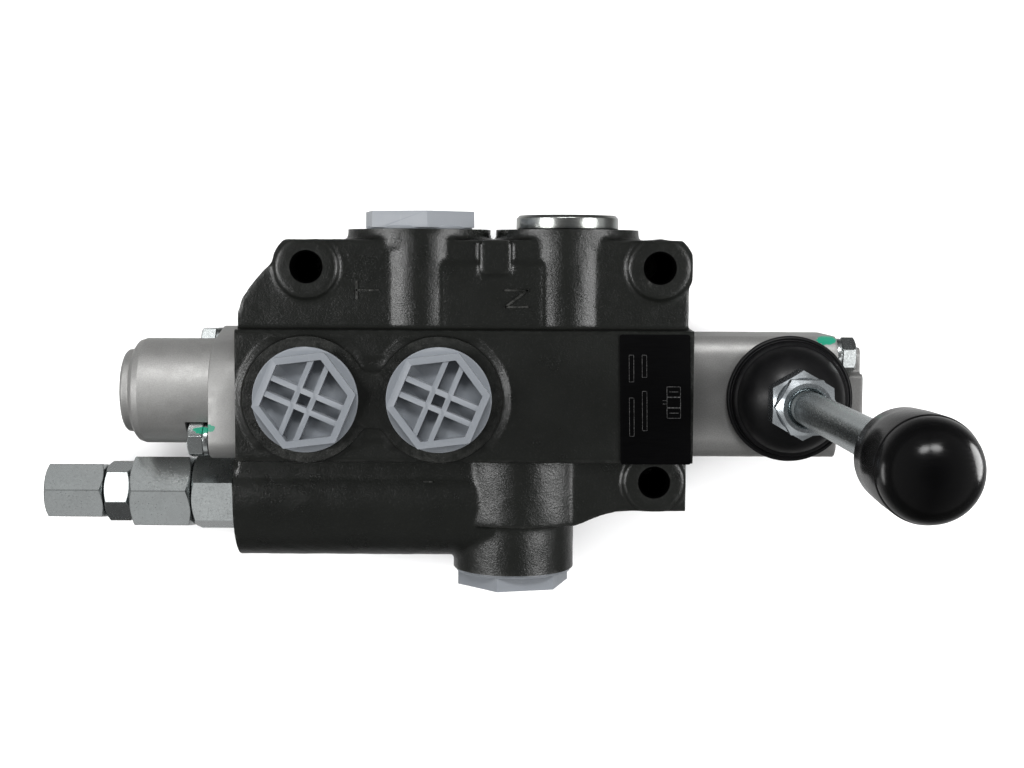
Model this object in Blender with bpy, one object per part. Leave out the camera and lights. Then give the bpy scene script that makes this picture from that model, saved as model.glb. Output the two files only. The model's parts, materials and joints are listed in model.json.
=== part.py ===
"""Single-spool monoblock directional control valve with hand lever,
spring centring and an adjustable relief valve.

Finished frame: metres, +Z up. The origin lies on the mounting base, straight
below the spool axis, at the middle of the cast body's length. +X runs along
the spool toward the lever, +Y toward the tank and carry-over ports, +Z
toward the work ports.

Sizes in the code are millimetres with Z measured from the spool axis;
finish() turns them into metres and lifts them to the spool axis height.
"""
import math
from collections import namedtuple

import bmesh
import bpy
from mathutils import Matrix, Vector

MM = 0.001
ORIGIN = (0, 0, 0)
AXIS_HEIGHT = 33.0       # spool axis above the mounting base
BASE_Z = -AXIS_HEIGHT
SEGMENTS = 32            # facets on large round faces
BORE_SEGMENTS = 24       # facets on the spool, its bore and the rings on it

# Cast body
BODY_HALF = 69.0         # half length along X
BLOCK_Y = (-19.0, 21.2)
BLOCK_TOP = 33.0
WEB_TOP = 26.5           # upper web, tank and carry-over side
WEB_Y = 48.4
LOW_WEB_TOP = 15.2       # lower web, pump and relief side
EAR_TOP = 14.5
EAR_Y = -41.2
HOLES = ((-48.0, 40.0), (59.0, 40.0), (59.0, -27.0))    # mounting holes (X, Y)
HOLE_R = 4.5             # for M8 bolts
BOLT_SEAT_R = 9.5
BOLT_SEAT_RAISE = 1.5

# Work ports A and B, G 1/2
PORT_PITCH = 40.0
PORT_A_X = -47.5
PORT_B_X = PORT_A_X + PORT_PITCH
WORK_PORTS = (PORT_A_X, PORT_B_X)
PORT_Y = 0.4
PORT_FACE_Z = 35.0
PORT_FACE_R = 18.6
PORT_BORE_R = 10.3
PORT_DEPTH = 16.0

# Tank, carry-over and pump ports, G 3/4
TANK_X, CARRY_X, RETURN_Z = -15.0, 31.6, 6.0
RETURN_FACE_Y = 51.6
RETURN_BOSS_R = 22.4
PUMP_X, PUMP_Z = 15.0, -5.0
PUMP_FACE_Y = -57.3
PUMP_BOSS_R = 19.5
BIG_BORE_R = 12.25
BIG_DEPTH = 17.0

# Load check, on a vertical axis midway between the work ports
CHECK_AT = ((PORT_A_X + PORT_B_X) / 2, -26.0, 0)
CHECK_X = CHECK_AT[0]

# Spool bore and the ring galleries round it (X from, X to)
SPOOL_R = 9.0
BORE_R = SPOOL_R + 0.05
GALLERY_R = 13.5
WORK_GALLERY_HALF = 4.0
GALLERY_A, BRIDGE, GALLERY_B = [(x - WORK_GALLERY_HALF, x + WORK_GALLERY_HALF)
                                for x in (PORT_A_X, CHECK_X, PORT_B_X)]
TANK_LEFT = (-62.0, -56.0)
TANK_RIGHT = (1.0, 7.0)
PUMP_GALLERY = (17.5, 23.5)
CARRY_GALLERY = (29.0, 35.6)
GALLERIES = (TANK_LEFT, GALLERY_A, BRIDGE, GALLERY_B, TANK_RIGHT, PUMP_GALLERY, CARRY_GALLERY)
SEAL_BORE_R, SEAL_BORE_DEPTH = 12.0, 4.0

# Relief valve, on an axis along X
RELIEF_Y, RELIEF_Z = -33.2, -3.6
RELIEF_AT = (0, RELIEF_Y, RELIEF_Z)
RELIEF_ORIGIN = (-47.0, RELIEF_Y, RELIEF_Z)     # object origin of its moving parts
TUBE_R = 20.2
TUBE_X = -73.0
RELIEF_HEX = 22.0        # across flats of cartridge and bonnet
RELIEF_NUT_HEX = 17.0    # across flats of jam nut and cap nut
RELIEF_THREAD_R = 5.25   # clearance hole round the adjusting screw

# Lever
LEVER_X = 100.0
LEVER_AT = (LEVER_X, 0, 0)
PIVOT_Z = 20.5
PIVOT = (LEVER_X, 0, PIVOT_Z)
BALL_R = 8.0
TIP_R = 4.0              # ball end that moves the spool
ROD_R = 5.0
ROD_HOLE_R = ROD_R + 0.2
KNOB_Z = (162.0, 194.5)

# Spring cap and lever housing, bolted to the ends of the body
JOINT_GAP = 0.3
HOUSING_X = BODY_HALF + JOINT_GAP
HOUSING_END_X = 125.0
HOUSING_HALF = 19.0
HOUSING_FACE_X = 115.2   # face under the screw heads
CAP_X = -(BODY_HALF + JOINT_GAP)
CAP_FLANGE_X = CAP_X - 11.0
CAP_SHOULDER_X = -106.0
CAP_END_X = CAP_SHOULDER_X - 3.0
HOUSING_SCREWS = ((13.0, 12.0), (-13.0, -12.0))    # (Y, Z)
CAP_SCREWS = ((-14.5, 12.0), (14.5, -12.0))        # (Y, Z)
SCREW_HOLE_R = 3.1
SCREW_HOLE_END = 57.0    # distance of the hole's bottom from X = 0
SCREW_TIP = 58.2         # distance of the screw's tip from X = 0

# Finishes
Look = namedtuple("Look", "colour roughness metallic")
CAST = Look(colour=(0.022, 0.023, 0.021), roughness=0.62, metallic=0.35)
DIECAST = Look(colour=(0.42, 0.43, 0.43), roughness=0.48, metallic=0.85)
ZINC = Look(colour=(0.60, 0.62, 0.66), roughness=0.28, metallic=1.0)
STEEL = Look(colour=(0.46, 0.46, 0.47), roughness=0.30, metallic=1.0)
SPRING = Look(colour=(0.20, 0.20, 0.21), roughness=0.40, metallic=1.0)
PLASTIC = Look(colour=(0.36, 0.42, 0.48), roughness=0.50, metallic=0.0)
RUBBER = Look(colour=(0.012, 0.012, 0.013), roughness=0.55, metallic=0.0)
GLOSS = Look(colour=(0.008, 0.008, 0.009), roughness=0.12, metallic=0.0)
LABEL = Look(colour=(0.015, 0.015, 0.016), roughness=0.42, metallic=0.1)
NYLON = Look(colour=(0.55, 0.53, 0.46), roughness=0.50, metallic=0.0)


# ------------------------------------------------------------ outlines
def polar(radius, degrees):
    angle = math.radians(degrees)
    return radius * math.cos(angle), radius * math.sin(angle)


def hexagon(across_flats, twist=0.0):
    """Corners of a hexagon, the first one at the twist angle in degrees."""
    return [polar(across_flats / math.sqrt(3), twist + 60 * k) for k in range(6)]


def arc(cx, cy, radius, start, end, steps):
    """Points from one angle to another, in degrees."""
    offsets = [polar(radius, start + (end - start) * k / steps) for k in range(steps + 1)]
    return [(cx + x, cy + y) for x, y in offsets]


def rounded_rect(x0, x1, y0, y1, r, steps=5):
    return (arc(x1 - r, y0 + r, r, -90, 0, steps) + arc(x1 - r, y1 - r, r, 0, 90, steps)
            + arc(x0 + r, y1 - r, r, 90, 180, steps) + arc(x0 + r, y0 + r, r, 180, 270, steps))


def two_lobed(middle_r, end_r, end_centre):
    """Outline round a middle circle and two opposite end circles, joined by tangents."""
    cx, cy = end_centre
    bearing = math.degrees(math.atan2(cy, cx))
    spread = math.degrees(math.acos((middle_r - end_r) / math.hypot(cx, cy)))
    points = []
    for sign, toward in ((1, bearing), (-1, bearing + 180)):
        points += arc(sign * cx, sign * cy, end_r, toward - spread, toward + spread, 9)
        points += arc(0, 0, middle_r, toward + spread, toward + 180 - spread, 6)
    return points


# -------------------------------------------------------------- solids
# Columns of each matrix are where (across 1, across 2, along) point:
# outlines are (X, Y) along Z, (Y, Z) along X and (Z, X) along Y.
TURNS = {
    'Z': Matrix(((1, 0, 0), (0, 1, 0), (0, 0, 1))),
    'X': Matrix(((0, 0, 1), (1, 0, 0), (0, 1, 0))),
    'Y': Matrix(((0, 1, 0), (0, 0, 1), (1, 0, 0))),
}


def solid(points, faces, axis, at):
    """Unfinished object in millimetres, turned to its axis and moved to its place."""
    offset = Vector(at)
    mesh = bpy.data.meshes.new("work")
    mesh.from_pydata([tuple(TURNS[axis] @ Vector(p) + offset) for p in points], [], faces)
    bm = bmesh.new()
    bm.from_mesh(mesh)
    bmesh.ops.recalc_face_normals(bm, faces=bm.faces)
    bm.to_mesh(mesh)
    bm.free()
    work = bpy.data.objects.new("work", mesh)
    bpy.context.scene.collection.objects.link(work)
    return work


def prism(outline, start, end, axis='Z', at=ORIGIN):
    """Outline swept from start to end along the axis."""
    n = len(outline)
    points = [(x, y, start) for x, y in outline] + [(x, y, end) for x, y in outline]
    faces = [tuple(range(n)), tuple(range(n, 2 * n))]
    faces += [(i, (i + 1) % n, n + (i + 1) % n, n + i) for i in range(n)]
    return solid(points, faces, axis, at)


def box(x0, x1, y0, y1, z0, z1):
    return prism([(x0, y0), (x1, y0), (x1, y1), (x0, y1)], z0, z1)


def hex_bar(across_flats, twist, start, end, axis='Z', at=ORIGIN):
    return prism(hexagon(across_flats, twist), start, end, axis, at)


def lathe(profile, axis='Z', at=ORIGIN, segments=SEGMENTS):
    """Closed profile of (along, radius) turned about an axis."""
    points, rings = [], []
    for along, radius in profile:
        count = 1 if radius < 1e-6 else segments
        rings.append(range(len(points), len(points) + count))
        if count == 1:
            points.append((0, 0, along))
            continue
        for k in range(segments):
            angle = 2 * math.pi * k / segments
            points.append((radius * math.cos(angle), radius * math.sin(angle), along))
    faces = []
    for i, here in enumerate(rings):
        following = (i + 1) % len(rings)
        there = rings[following]
        if len(here) == 1 and len(there) == 1:
            continue
        if len(here) == 1 or len(there) == 1:
            pole, ring = (here, there) if len(here) == 1 else (there, here)
            if abs(profile[i][0] - profile[following][0]) < 1e-6:
                faces.append(tuple(ring))
            else:
                faces += [(pole[0], ring[k], ring[(k + 1) % segments]) for k in range(segments)]
            continue
        for k in range(segments):
            after = (k + 1) % segments
            faces.append((here[k], here[after], there[after], there[k]))
    # A flat end needs no centre point, so the unused points go
    used = sorted({i for face in faces for i in face})
    renumber = {old: new for new, old in enumerate(used)}
    return solid([points[i] for i in used],
                 [tuple(renumber[i] for i in face) for face in faces], axis, at)


def turned(stations, axis='Z', at=ORIGIN, segments=SEGMENTS):
    """Solid of revolution from (along, radius) stations, closed flat at both ends."""
    profile = [(stations[0][0], 0), *stations, (stations[-1][0], 0)]
    return lathe(profile, axis, at, segments)


def rod(radius, start, end, axis='Z', at=ORIGIN, segments=SEGMENTS):
    return turned([(start, radius), (end, radius)], axis, at, segments)


def tube(inner_r, outer_r, start, end, axis='Z', at=ORIGIN, segments=SEGMENTS):
    profile = [(start, inner_r), (start, outer_r), (end, outer_r), (end, inner_r)]
    return lathe(profile, axis, at, segments)


def helix(radius, wire, start, end, turns, axis, at, steps):
    """Coil spring with its end turns lying closer together; wire is a diameter."""
    sides = 5
    count = int(turns * steps)
    low, high = start + wire / 2, end - wire / 2
    points, faces = [], []
    for i in range(count + 1):
        t = i / count
        along = low + (high - low) * (t - 0.055 * math.sin(2 * math.pi * t))
        angle = 2 * math.pi * turns * t
        for k in range(sides):
            around = 2 * math.pi * (k + 0.5) / sides
            r = radius + wire / 2 * math.cos(around)
            points.append((r * math.cos(angle), r * math.sin(angle),
                           along + wire / 2 * math.sin(around)))
    for i in range(count):
        for k in range(sides):
            p, q = i * sides + k, i * sides + (k + 1) % sides
            faces.append((p, q, q + sides, p + sides))
    faces.append(tuple(range(sides)))
    faces.append(tuple(range(count * sides, (count + 1) * sides)))
    return solid(points, faces, axis, at)


def combine(base, tools, operation):
    """Apply one boolean per tool to the base and remove the tools."""
    for tool in tools:
        modifier = base.modifiers.new("cut", 'BOOLEAN')
        modifier.operation = operation
        modifier.solver = 'EXACT'
        modifier.object = tool
    bpy.context.view_layer.update()
    mesh = bpy.data.meshes.new_from_object(
        base.evaluated_get(bpy.context.evaluated_depsgraph_get()))
    base.modifiers.clear()
    base.data = mesh
    for tool in tools:
        bpy.data.objects.remove(tool, do_unlink=True)
    return base


def fuse(base, *tools):
    return combine(base, tools, 'UNION')


def cut(base, *tools):
    return combine(base, tools, 'DIFFERENCE')


def overlap(base, *tools):
    return combine(base, tools, 'INTERSECT')


# ----------------------------------------------------------- finishing
def material(name, look):
    mat = bpy.data.materials.new(name)
    mat.use_nodes = True
    inputs = mat.node_tree.nodes["Principled BSDF"].inputs
    inputs["Base Color"].default_value = (*look.colour, 1.0)
    inputs["Roughness"].default_value = look.roughness
    inputs["Metallic"].default_value = look.metallic
    mat.diffuse_color = (*look.colour, 1.0)
    return mat


def finish(name, work, look, origin=ORIGIN, sharp_angle=35.0):
    """Name the object, move its origin, clean its mesh and go over to metres."""
    mesh = work.data
    offset = Vector(origin)
    bm = bmesh.new()
    bm.from_mesh(mesh)
    for v in bm.verts:
        v.co = (v.co - offset) * MM
    bmesh.ops.remove_doubles(bm, verts=bm.verts, dist=2e-7)
    bmesh.ops.dissolve_degenerate(bm, edges=bm.edges, dist=1e-7)
    bmesh.ops.dissolve_limit(bm, angle_limit=math.radians(0.05), verts=bm.verts, edges=bm.edges)
    bmesh.ops.triangulate(bm, faces=[f for f in bm.faces if len(f.verts) > 4])
    bmesh.ops.recalc_face_normals(bm, faces=bm.faces)
    bm.to_mesh(mesh)
    bm.free()
    mesh.materials.clear()
    mesh.materials.append(material(name + "_material", look))
    mesh.name = name
    mesh.shade_smooth()
    mesh.set_sharp_from_angle(angle=math.radians(sharp_angle))
    work.name = name
    work.location = (offset + Vector((0, 0, AXIS_HEIGHT))) * MM


# ----------------------------------------------------------- cast body
# Upper web (X, Y): the -X side, from the block out to the far edge
WEB_LEFT_EDGE = [
    (-69, 15), (-69, 26), (-67.8, 30.3), (-65.1, 34.4), (-61.2, 38.9), (-57.4, 42.5),
    (-55.4, 45.0), (-53.4, 47.1), (-51.0, 48.1), (-48.0, WEB_Y),
]
WEB_CORNER_R = 8.9

# Ear at the +X, -Y corner (X, Y)
EAR_OUTLINE = [
    (30, -14), (30, EAR_Y), (34.4, EAR_Y), (36.5, -40.5), (39, -39.3), (43, -37.8),
    (47.5, -36.8), (52.6, -36.4), (BODY_HALF - 1.2, -36.4), (BODY_HALF - 0.3, -36.0),
    (BODY_HALF, -35.0), (BODY_HALF, -14),
]


def web_outline():
    corner = arc(58.6, WEB_Y - WEB_CORNER_R, WEB_CORNER_R, 90, 0, 7)
    return WEB_LEFT_EDGE + [(57.0, WEB_Y)] + corner + [(67.5, 15)]


def channel_section(middle_x):
    """Section (Z, X) of the low rounded channel over a tank or carry-over passage."""
    half, shoulder_z, crown = 9.6, 25.0, 3.6
    top = [(shoulder_z + crown * (1 - (k / 5) ** 2) ** 0.6, middle_x + half * k / 5)
           for k in range(-5, 6)]
    return [(10.0, middle_x - half)] + top + [(10.0, middle_x + half)]


def body_block():
    """Spool block with the webs, relief tube, pump boss and lower ear."""
    block = prism(rounded_rect(*BLOCK_Y, BASE_Z, BLOCK_TOP, 1.2, 2), -BODY_HALF, BODY_HALF, 'X')
    pump_hump = overlap(rod(24.8, -41.4, -12, 'Y', (17.3, 0, -4.6), 56),
                        box(0.7, 34.2, -45, -5, -20, 30))
    tube_end = arc(RELIEF_Y, RELIEF_Z, TUBE_R, 53.0, 307.0, 23)
    return fuse(
        block,
        prism(web_outline(), BASE_Z, WEB_TOP),
        box(-BODY_HALF, 20, RELIEF_Y, -15, BASE_Z + 4, LOW_WEB_TOP),
        box(-BODY_HALF, 18, -38.4, -15, BASE_Z, RELIEF_Z - 6),
        rod(TUBE_R, -BODY_HALF + 0.4, 8, 'X', RELIEF_AT),
        prism(tube_end, TUBE_X, -60, 'X'),
        box(0.7, 34.8, -41.4, -14, BASE_Z, 1.0),
        pump_hump,
        rod(PUMP_BOSS_R, PUMP_FACE_Y, -24, 'Y', (PUMP_X, 0, PUMP_Z)),
        prism(EAR_OUTLINE, BASE_Z, EAR_TOP))


def bolt_seat(x, y):
    """Raised ring round a mounting hole, trimmed to stay inside the body edges."""
    top = WEB_TOP if y > 0 else EAR_TOP
    raised = top + BOLT_SEAT_RAISE
    seat = turned([(0, BOLT_SEAT_R + 1.0), (top, BOLT_SEAT_R + 1.0),
                   (top + 0.5, BOLT_SEAT_R + 0.2), (raised, BOLT_SEAT_R - 0.2)],
                  'Z', (x, y, 0), 20)
    inset = 0.2
    limit = BODY_HALF - inset
    return overlap(seat, box(-limit, limit, -36.2, WEB_Y - inset, -5, 40))


def body_bosses():
    """Port bosses, channels, bolt seats and raised work port faces."""
    parts = [rod(RETURN_BOSS_R, 41.0, RETURN_FACE_Y, 'Y', (x, 0, RETURN_Z), 36)
             for x in (TANK_X, CARRY_X)]
    parts += [prism(channel_section(x), 18.0, 50.0, 'Y') for x in (-14.0, 31.3)]
    parts.append(box(-6.6, 23.3, 18, 41.2, 0, 27.6))
    parts.append(prism(rounded_rect(4.8, 13.7, 39.0, 48.3, 2.0, 3), 0, 27.2))
    parts += [bolt_seat(x, y) for x, y in HOLES]
    for x in WORK_PORTS:
        parts.append(turned([(10, 19.3), (33.0, 19.3), (33.8, 18.9), (PORT_FACE_Z, PORT_FACE_R)],
                            'Z', (x, PORT_Y, 0)))
    return parts


def spool_bore():
    """Spool bore with its ring galleries and a seal counterbore at each end."""
    end = BODY_HALF + 2
    seal_x = BODY_HALF - SEAL_BORE_DEPTH
    stations = [(-end, SEAL_BORE_R), (-seal_x, SEAL_BORE_R), (-seal_x, BORE_R)]
    for start, stop in GALLERIES:
        stations += [(start, BORE_R), (start, GALLERY_R), (stop, GALLERY_R), (stop, BORE_R)]
    stations += [(seal_x, BORE_R), (seal_x, SEAL_BORE_R), (end, SEAL_BORE_R)]
    return turned(stations, 'X', segments=BORE_SEGMENTS)


def work_port_bore(x):
    floor, lip_r = PORT_FACE_Z - PORT_DEPTH, PORT_BORE_R + 1.2
    return turned([(10.5, 3.9), (floor, 6.0), (floor, PORT_BORE_R),
                   (PORT_FACE_Z - 1, PORT_BORE_R), (PORT_FACE_Z, lip_r),
                   (PORT_FACE_Z + 2, lip_r)], 'Z', (x, PORT_Y, 0), 20)


def big_port_bore(x, z, face_y, outward, drill_y, drill_r):
    """G 3/4 bore along Y with a narrower drilling; outward is the sign of the face's Y."""
    floor, lip_r = face_y - outward * BIG_DEPTH, BIG_BORE_R + 2.0
    return turned([(drill_y, drill_r), (floor, drill_r), (floor, BIG_BORE_R),
                   (face_y - outward * 1.6, BIG_BORE_R), (face_y, lip_r),
                   (face_y + outward * 2, lip_r)], 'Y', (x, 0, z), 20)


def gallery_window(gallery, y0, y1, z0, z1):
    """Box-shaped passage a little narrower than the gallery it opens into."""
    return box(gallery[0] + 0.4, gallery[1] - 0.4, y0, y1, z0, z1)


def port_cuts():
    return [
        spool_bore(),
        *[work_port_bore(x) for x in WORK_PORTS],
        *[big_port_bore(x, RETURN_Z, RETURN_FACE_Y, 1, 21, 7.5) for x in (TANK_X, CARRY_X)],
        rod(6.5, TANK_LEFT[0], TANK_RIGHT[1], 'X', (0, 26.0, RETURN_Z), 16),
    ]


def passage_cuts():
    low, high = RETURN_Z - 5, RETURN_Z + 4
    cartridge_bore = turned([(TUBE_X - 2, 10.2), (-48, 10.2), (-48, 7.8), (-42, 7.8), (-42, 6.2),
                             (PUMP_X, 6.2)], 'X', RELIEF_AT, 20)
    check_bore = turned([(BASE_Z - 2, 9.4), (BASE_Z + 0.8, 8.4), (-24, 8.4), (-24, 7.4),
                         (-14, 7.4), (-14, 4.5), (-4, 4.5)], 'Z', CHECK_AT, 20)
    return [
        gallery_window(TANK_LEFT, 10.5, 27, low, high),
        gallery_window(TANK_RIGHT, 10.5, 27, low, high),
        gallery_window(CARRY_GALLERY, 10.5, 24, low, high),
        big_port_bore(PUMP_X, PUMP_Z, PUMP_FACE_Y, -1, -29, 7.6),
        cartridge_bore,
        gallery_window(PUMP_GALLERY, -34, -10.5, -9, 3),
        gallery_window(TANK_LEFT, -26, -10.5, -7, 0),
        check_bore,
    ]


def hole_cuts():
    """Way from the load check to the bridge gallery, mounting and screw holes."""
    mouth = BODY_HALF + 1
    return [
        rod(4.8, -20.0, -2.0, 'Y', (CHECK_X, 0, -16.5), 16),
        *[rod(HOLE_R, BASE_Z - 2, 40, 'Z', (x, y, 0), 20) for x, y in HOLES],
        *[rod(SCREW_HOLE_R, -mouth, -SCREW_HOLE_END, 'X', (0, *yz), 12) for yz in CAP_SCREWS],
        *[rod(SCREW_HOLE_R, SCREW_HOLE_END, mouth, 'X', (0, *yz), 12) for yz in HOUSING_SCREWS],
    ]


def valve_body():
    body = fuse(body_block(), *body_bosses())
    # The cuts go in stages, so that each passage meets bores already open
    for cuts in (port_cuts, passage_cuts, hole_cuts):
        body = cut(body, *cuts())
    finish("valve_body", body, CAST, sharp_angle=28)


# ----------------------------------------------------- spool and seals
SPOOL_X = (-72.0, 84.0)
SPOOL_CHAMFER = 0.6
WAIST_R = 6.0
WAISTS = ((-64.0, -53.5), (-41.5, -13.5), (-1.5, 9.0), (19.5, 33.0))    # (X from, X to)
TONGUE_HALF_Y, TONGUE_HALF_Z = 7.4, 4.0


def spool():
    """Spool with a flat tongue on the +X end that the lever tip reaches into."""
    left, right = SPOOL_X
    stations = [(left, SPOOL_R - SPOOL_CHAMFER), (left + SPOOL_CHAMFER, SPOOL_R)]
    for start, stop in WAISTS:
        stations += [(start, SPOOL_R), (start + 1.0, WAIST_R), (stop - 1.0, WAIST_R),
                     (stop, SPOOL_R)]
    stations += [(right - SPOOL_CHAMFER, SPOOL_R), (right, SPOOL_R - SPOOL_CHAMFER)]
    y, z = TONGUE_HALF_Y, TONGUE_HALF_Z
    work = fuse(turned(stations, 'X', segments=BORE_SEGMENTS),
                prism(rounded_rect(-y, y, -z, z, 0.8, 2), 82.0, 106.0, 'X'),
                prism(arc(101.6, 0, y, -90, 90, 10) + [(99, y), (99, -y)], -z, z))
    work = cut(work, rod(TIP_R + 0.25, -6, 6, 'Z', LEVER_AT, 24),
               rod(4.2, -73.0, -58.0, 'X', segments=20))
    finish("spool", work, STEEL)


def spool_seals():
    """A rubber seal and its retaining ring at each end of the bore."""
    for side, sign, retainer_r in (("left", -1, 12.7), ("right", 1, 13.2)):
        seal_x = sorted((sign * 65.3, sign * 68.8))
        retainer_x = sorted((sign * 69.25, sign * 71.2))
        finish(f"spool_seal_{side}",
               tube(9.1, 11.7, *seal_x, 'X', segments=BORE_SEGMENTS), RUBBER)
        finish(f"seal_retainer_{side}",
               tube(9.4, retainer_r, *retainer_x, 'X', segments=BORE_SEGMENTS), ZINC)


# --------------------------------------- spring cap and centring spring
# (X, radius) stations
CAP_OUTSIDE = [
    (-75, 16.8), (CAP_SHOULDER_X + 3.0, 16.8), (CAP_SHOULDER_X + 1.0, 15.9),
    (CAP_SHOULDER_X, 14.2), (CAP_SHOULDER_X, 13.2), (CAP_END_X + 0.6, 13.2), (CAP_END_X, 12.6),
]
CAP_INSIDE = [
    (-68, 13.0), (-71.5, 13.0), (-71.5, 11.2), (-91.3, 11.2), (-91.3, 8.2), (-103.6, 8.2),
    (-104.6, 7.2),
]
END_BOLT = [
    (-95.8, 6.2), (-95.2, 6.8), (-91.3, 6.8), (-91.3, 4.0), (-59.0, 4.0), (-58.6, 3.4),
]


def spring_cap():
    cap = fuse(prism(two_lobed(17.4, 5.8, CAP_SCREWS[0]), CAP_FLANGE_X, CAP_X, 'X'),
               turned(CAP_OUTSIDE, 'X'))
    holes = [rod(3.3, -82, -68, 'X', (0, *yz), 12) for yz in CAP_SCREWS]
    head_pockets = [rod(6.15, -88.2, CAP_FLANGE_X, 'X', (0, *yz), 20) for yz in CAP_SCREWS]
    finish("spring_cap", cut(cap, turned(CAP_INSIDE, 'X', segments=24), *holes, *head_pockets),
           DIECAST)


def spring_seat(name, nose_x, toward_flange):
    """Short sleeve inside the spring with a flange behind it."""
    hole_r, sleeve_r, flange_r = 4.4, 7.2, 10.9
    flange_x = nose_x + toward_flange * 2.4
    back_x = nose_x + toward_flange * 4.3
    finish(name, lathe([(nose_x, hole_r), (nose_x, sleeve_r), (flange_x, sleeve_r),
                        (flange_x, flange_r), (back_x, flange_r), (back_x, hole_r)],
                       'X', segments=BORE_SEGMENTS), ZINC)


def centring_parts():
    spring_seat("spring_seat_inner", -76.6, 1)
    spring_seat("spring_seat_outer", -86.7, -1)
    finish("centering_spring", helix(8.9, 2.4, -88.9, -74.4, 3.6, 'X', ORIGIN, 12), SPRING)
    finish("spool_end_bolt", cut(turned(END_BOLT, 'X', segments=20),
                                 hex_bar(6.0, 0.0, -97, -92.6, 'X')), STEEL)


# -------------------------------------------------- screws and washers
WASHER_THICKNESS = 1.5
WASHER_GAP = [(2.0, -0.5), (6.5, -0.2), (6.5, 0.6), (2.0, 0.3)]    # (Y, Z) of the split


def screws_and_washers(part, positions, washer_x, away, head_height):
    """M6 hexagon screws with split washers; away is the X sign pointing off the body."""
    washer_end = washer_x + away * WASHER_THICKNESS
    head_x = washer_end + away * 0.2
    tip_x = away * SCREW_TIP
    w0, w1 = sorted((washer_x, washer_end))
    head_ends = sorted((head_x, head_x + away * head_height))
    for i, yz in enumerate(positions, 1):
        at = (0, *yz)
        finish(f"{part}_spring_washer_{i}",
               cut(tube(3.15, 5.2, w0, w1, 'X', at, 16),
                   prism(WASHER_GAP, w0 - 1, w1 + 1, 'X', at)), ZINC)
        shank = turned([(head_x + 0.5 * away, 2.9), (tip_x + 0.8 * away, 2.9), (tip_x, 2.2)],
                       'X', at, 12)
        finish(f"{part}_screw_{i}", fuse(hex_bar(10.0, 12.0, *head_ends, 'X', at), shank), ZINC)


# ------------------------------------------------------- lever housing
# End face boss (Y, Z)
HOUSING_END = [
    (-6.9, -15.0), (12.0, -15.0), (14.2, -14.1), (15.0, -12.0), (15.0, 4.7), (13.8, 5.9),
    (6.9, 5.9), (6.9, 9.6), (6.0, 10.5), (-9.6, 10.5), (-11.3, 9.8), (-12.0, 8.0),
    (-12.0, -5.9), (-6.9, -5.9),
]
# Collar round the lever and the bore in it (Z, radius)
COLLAR = [(0, 17.3), (21.2, 17.3), (21.2, 15.3), (25.2, 15.3), (25.6, 14.9)]
SOCKET_BORE = [
    (0, 8.5), (15.5, 8.5), (15.5, 12.8), (24.1, 12.8), (24.1, 13.7), (25.3, 13.7),
    (25.3, 12.8), (27, 12.8),
]


def lever_housing():
    half = HOUSING_HALF
    housing = fuse(
        prism(rounded_rect(-half, half, -half, half, 6.0), HOUSING_X, HOUSING_FACE_X, 'X'),
        prism(HOUSING_END, HOUSING_FACE_X - 2, HOUSING_END_X, 'X'),
        turned(COLLAR, 'Z', LEVER_AT))
    housing = cut(
        housing, rod(13.5, 68, 112.8, 'X', segments=28), box(111, 119.6, -8.2, 8.2, -4.7, 4.7),
        turned(SOCKET_BORE, 'Z', LEVER_AT),
        *[rod(SCREW_HOLE_R, 68, 118, 'X', (0, *yz), 12) for yz in HOUSING_SCREWS])
    finish("lever_housing", housing, DIECAST)


def ball_socket(name, z0, z1):
    """Nylon ring hollowed to a sphere a little larger than the lever ball."""
    steps = 3
    heights = [z0 + (z1 - z0) * k / steps for k in range(steps + 1)]
    hollow = [(z, math.sqrt((BALL_R + 0.35) ** 2 - (z - PIVOT_Z) ** 2)) for z in heights]
    finish(name, lathe([(z1, 12.5), (z0, 12.5)] + hollow, 'Z', LEVER_AT, 20), NYLON)


def snap_ring():
    ring = cut(tube(10.2, 13.4, 24.2, 25.1, 'Z', LEVER_AT, 24),
               box(LEVER_X + 8, LEVER_X + 16, -1.6, 1.6, 23, 27))
    finish("snap_ring", ring, SPRING)


# --------------------------------------------------------------- lever
# Boot section (Z, radius): outside from the bottom up, then inside back down
BOOT = [
    (19.45, 17.6), (19.45, 19.4), (21.6, 19.4), (23.2, 17.3), (26.4, 17.1), (27.9, 15.2),
    (32.6, 13.6), (34.7, 10.2), (34.9, 6.2), (33.2, 6.2), (32.7, 9.6), (31.0, 12.2),
    (27.0, 13.6), (25.9, 15.55), (21.5, 15.55), (21.5, 17.6),
]


def lever_ball_stud():
    """Small ball tip, neck, pivot ball and hexagon socket for the rod."""
    profile = [(-TIP_R, 0)]
    for degrees in (30, 60, 90, 136):
        along, radius = polar(TIP_R, degrees)
        profile.append((-along, radius))
    profile += [(6.0, 2.9), (9.5, 3.6)]
    lowest, highest = -math.degrees(math.acos(4.0 / BALL_R)), 56.0
    for k in range(8):
        radius, rise = polar(BALL_R, lowest + k * (highest - lowest) / 7)
        profile.append((PIVOT_Z + rise, radius))
    profile += [(28.6, 4.47), (29.6, 5.9), (35.4, 5.9), (35.4, 0)]
    stud = fuse(lathe(profile, 'Z', LEVER_AT, 20), hex_bar(18.0, 30.0, 35.0, 45.6, 'Z', LEVER_AT))
    stud = cut(stud, rod(ROD_HOLE_R, 37.0, 47.0, 'Z', LEVER_AT, 24))
    finish("lever_ball_stud", stud, ZINC, PIVOT)


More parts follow.
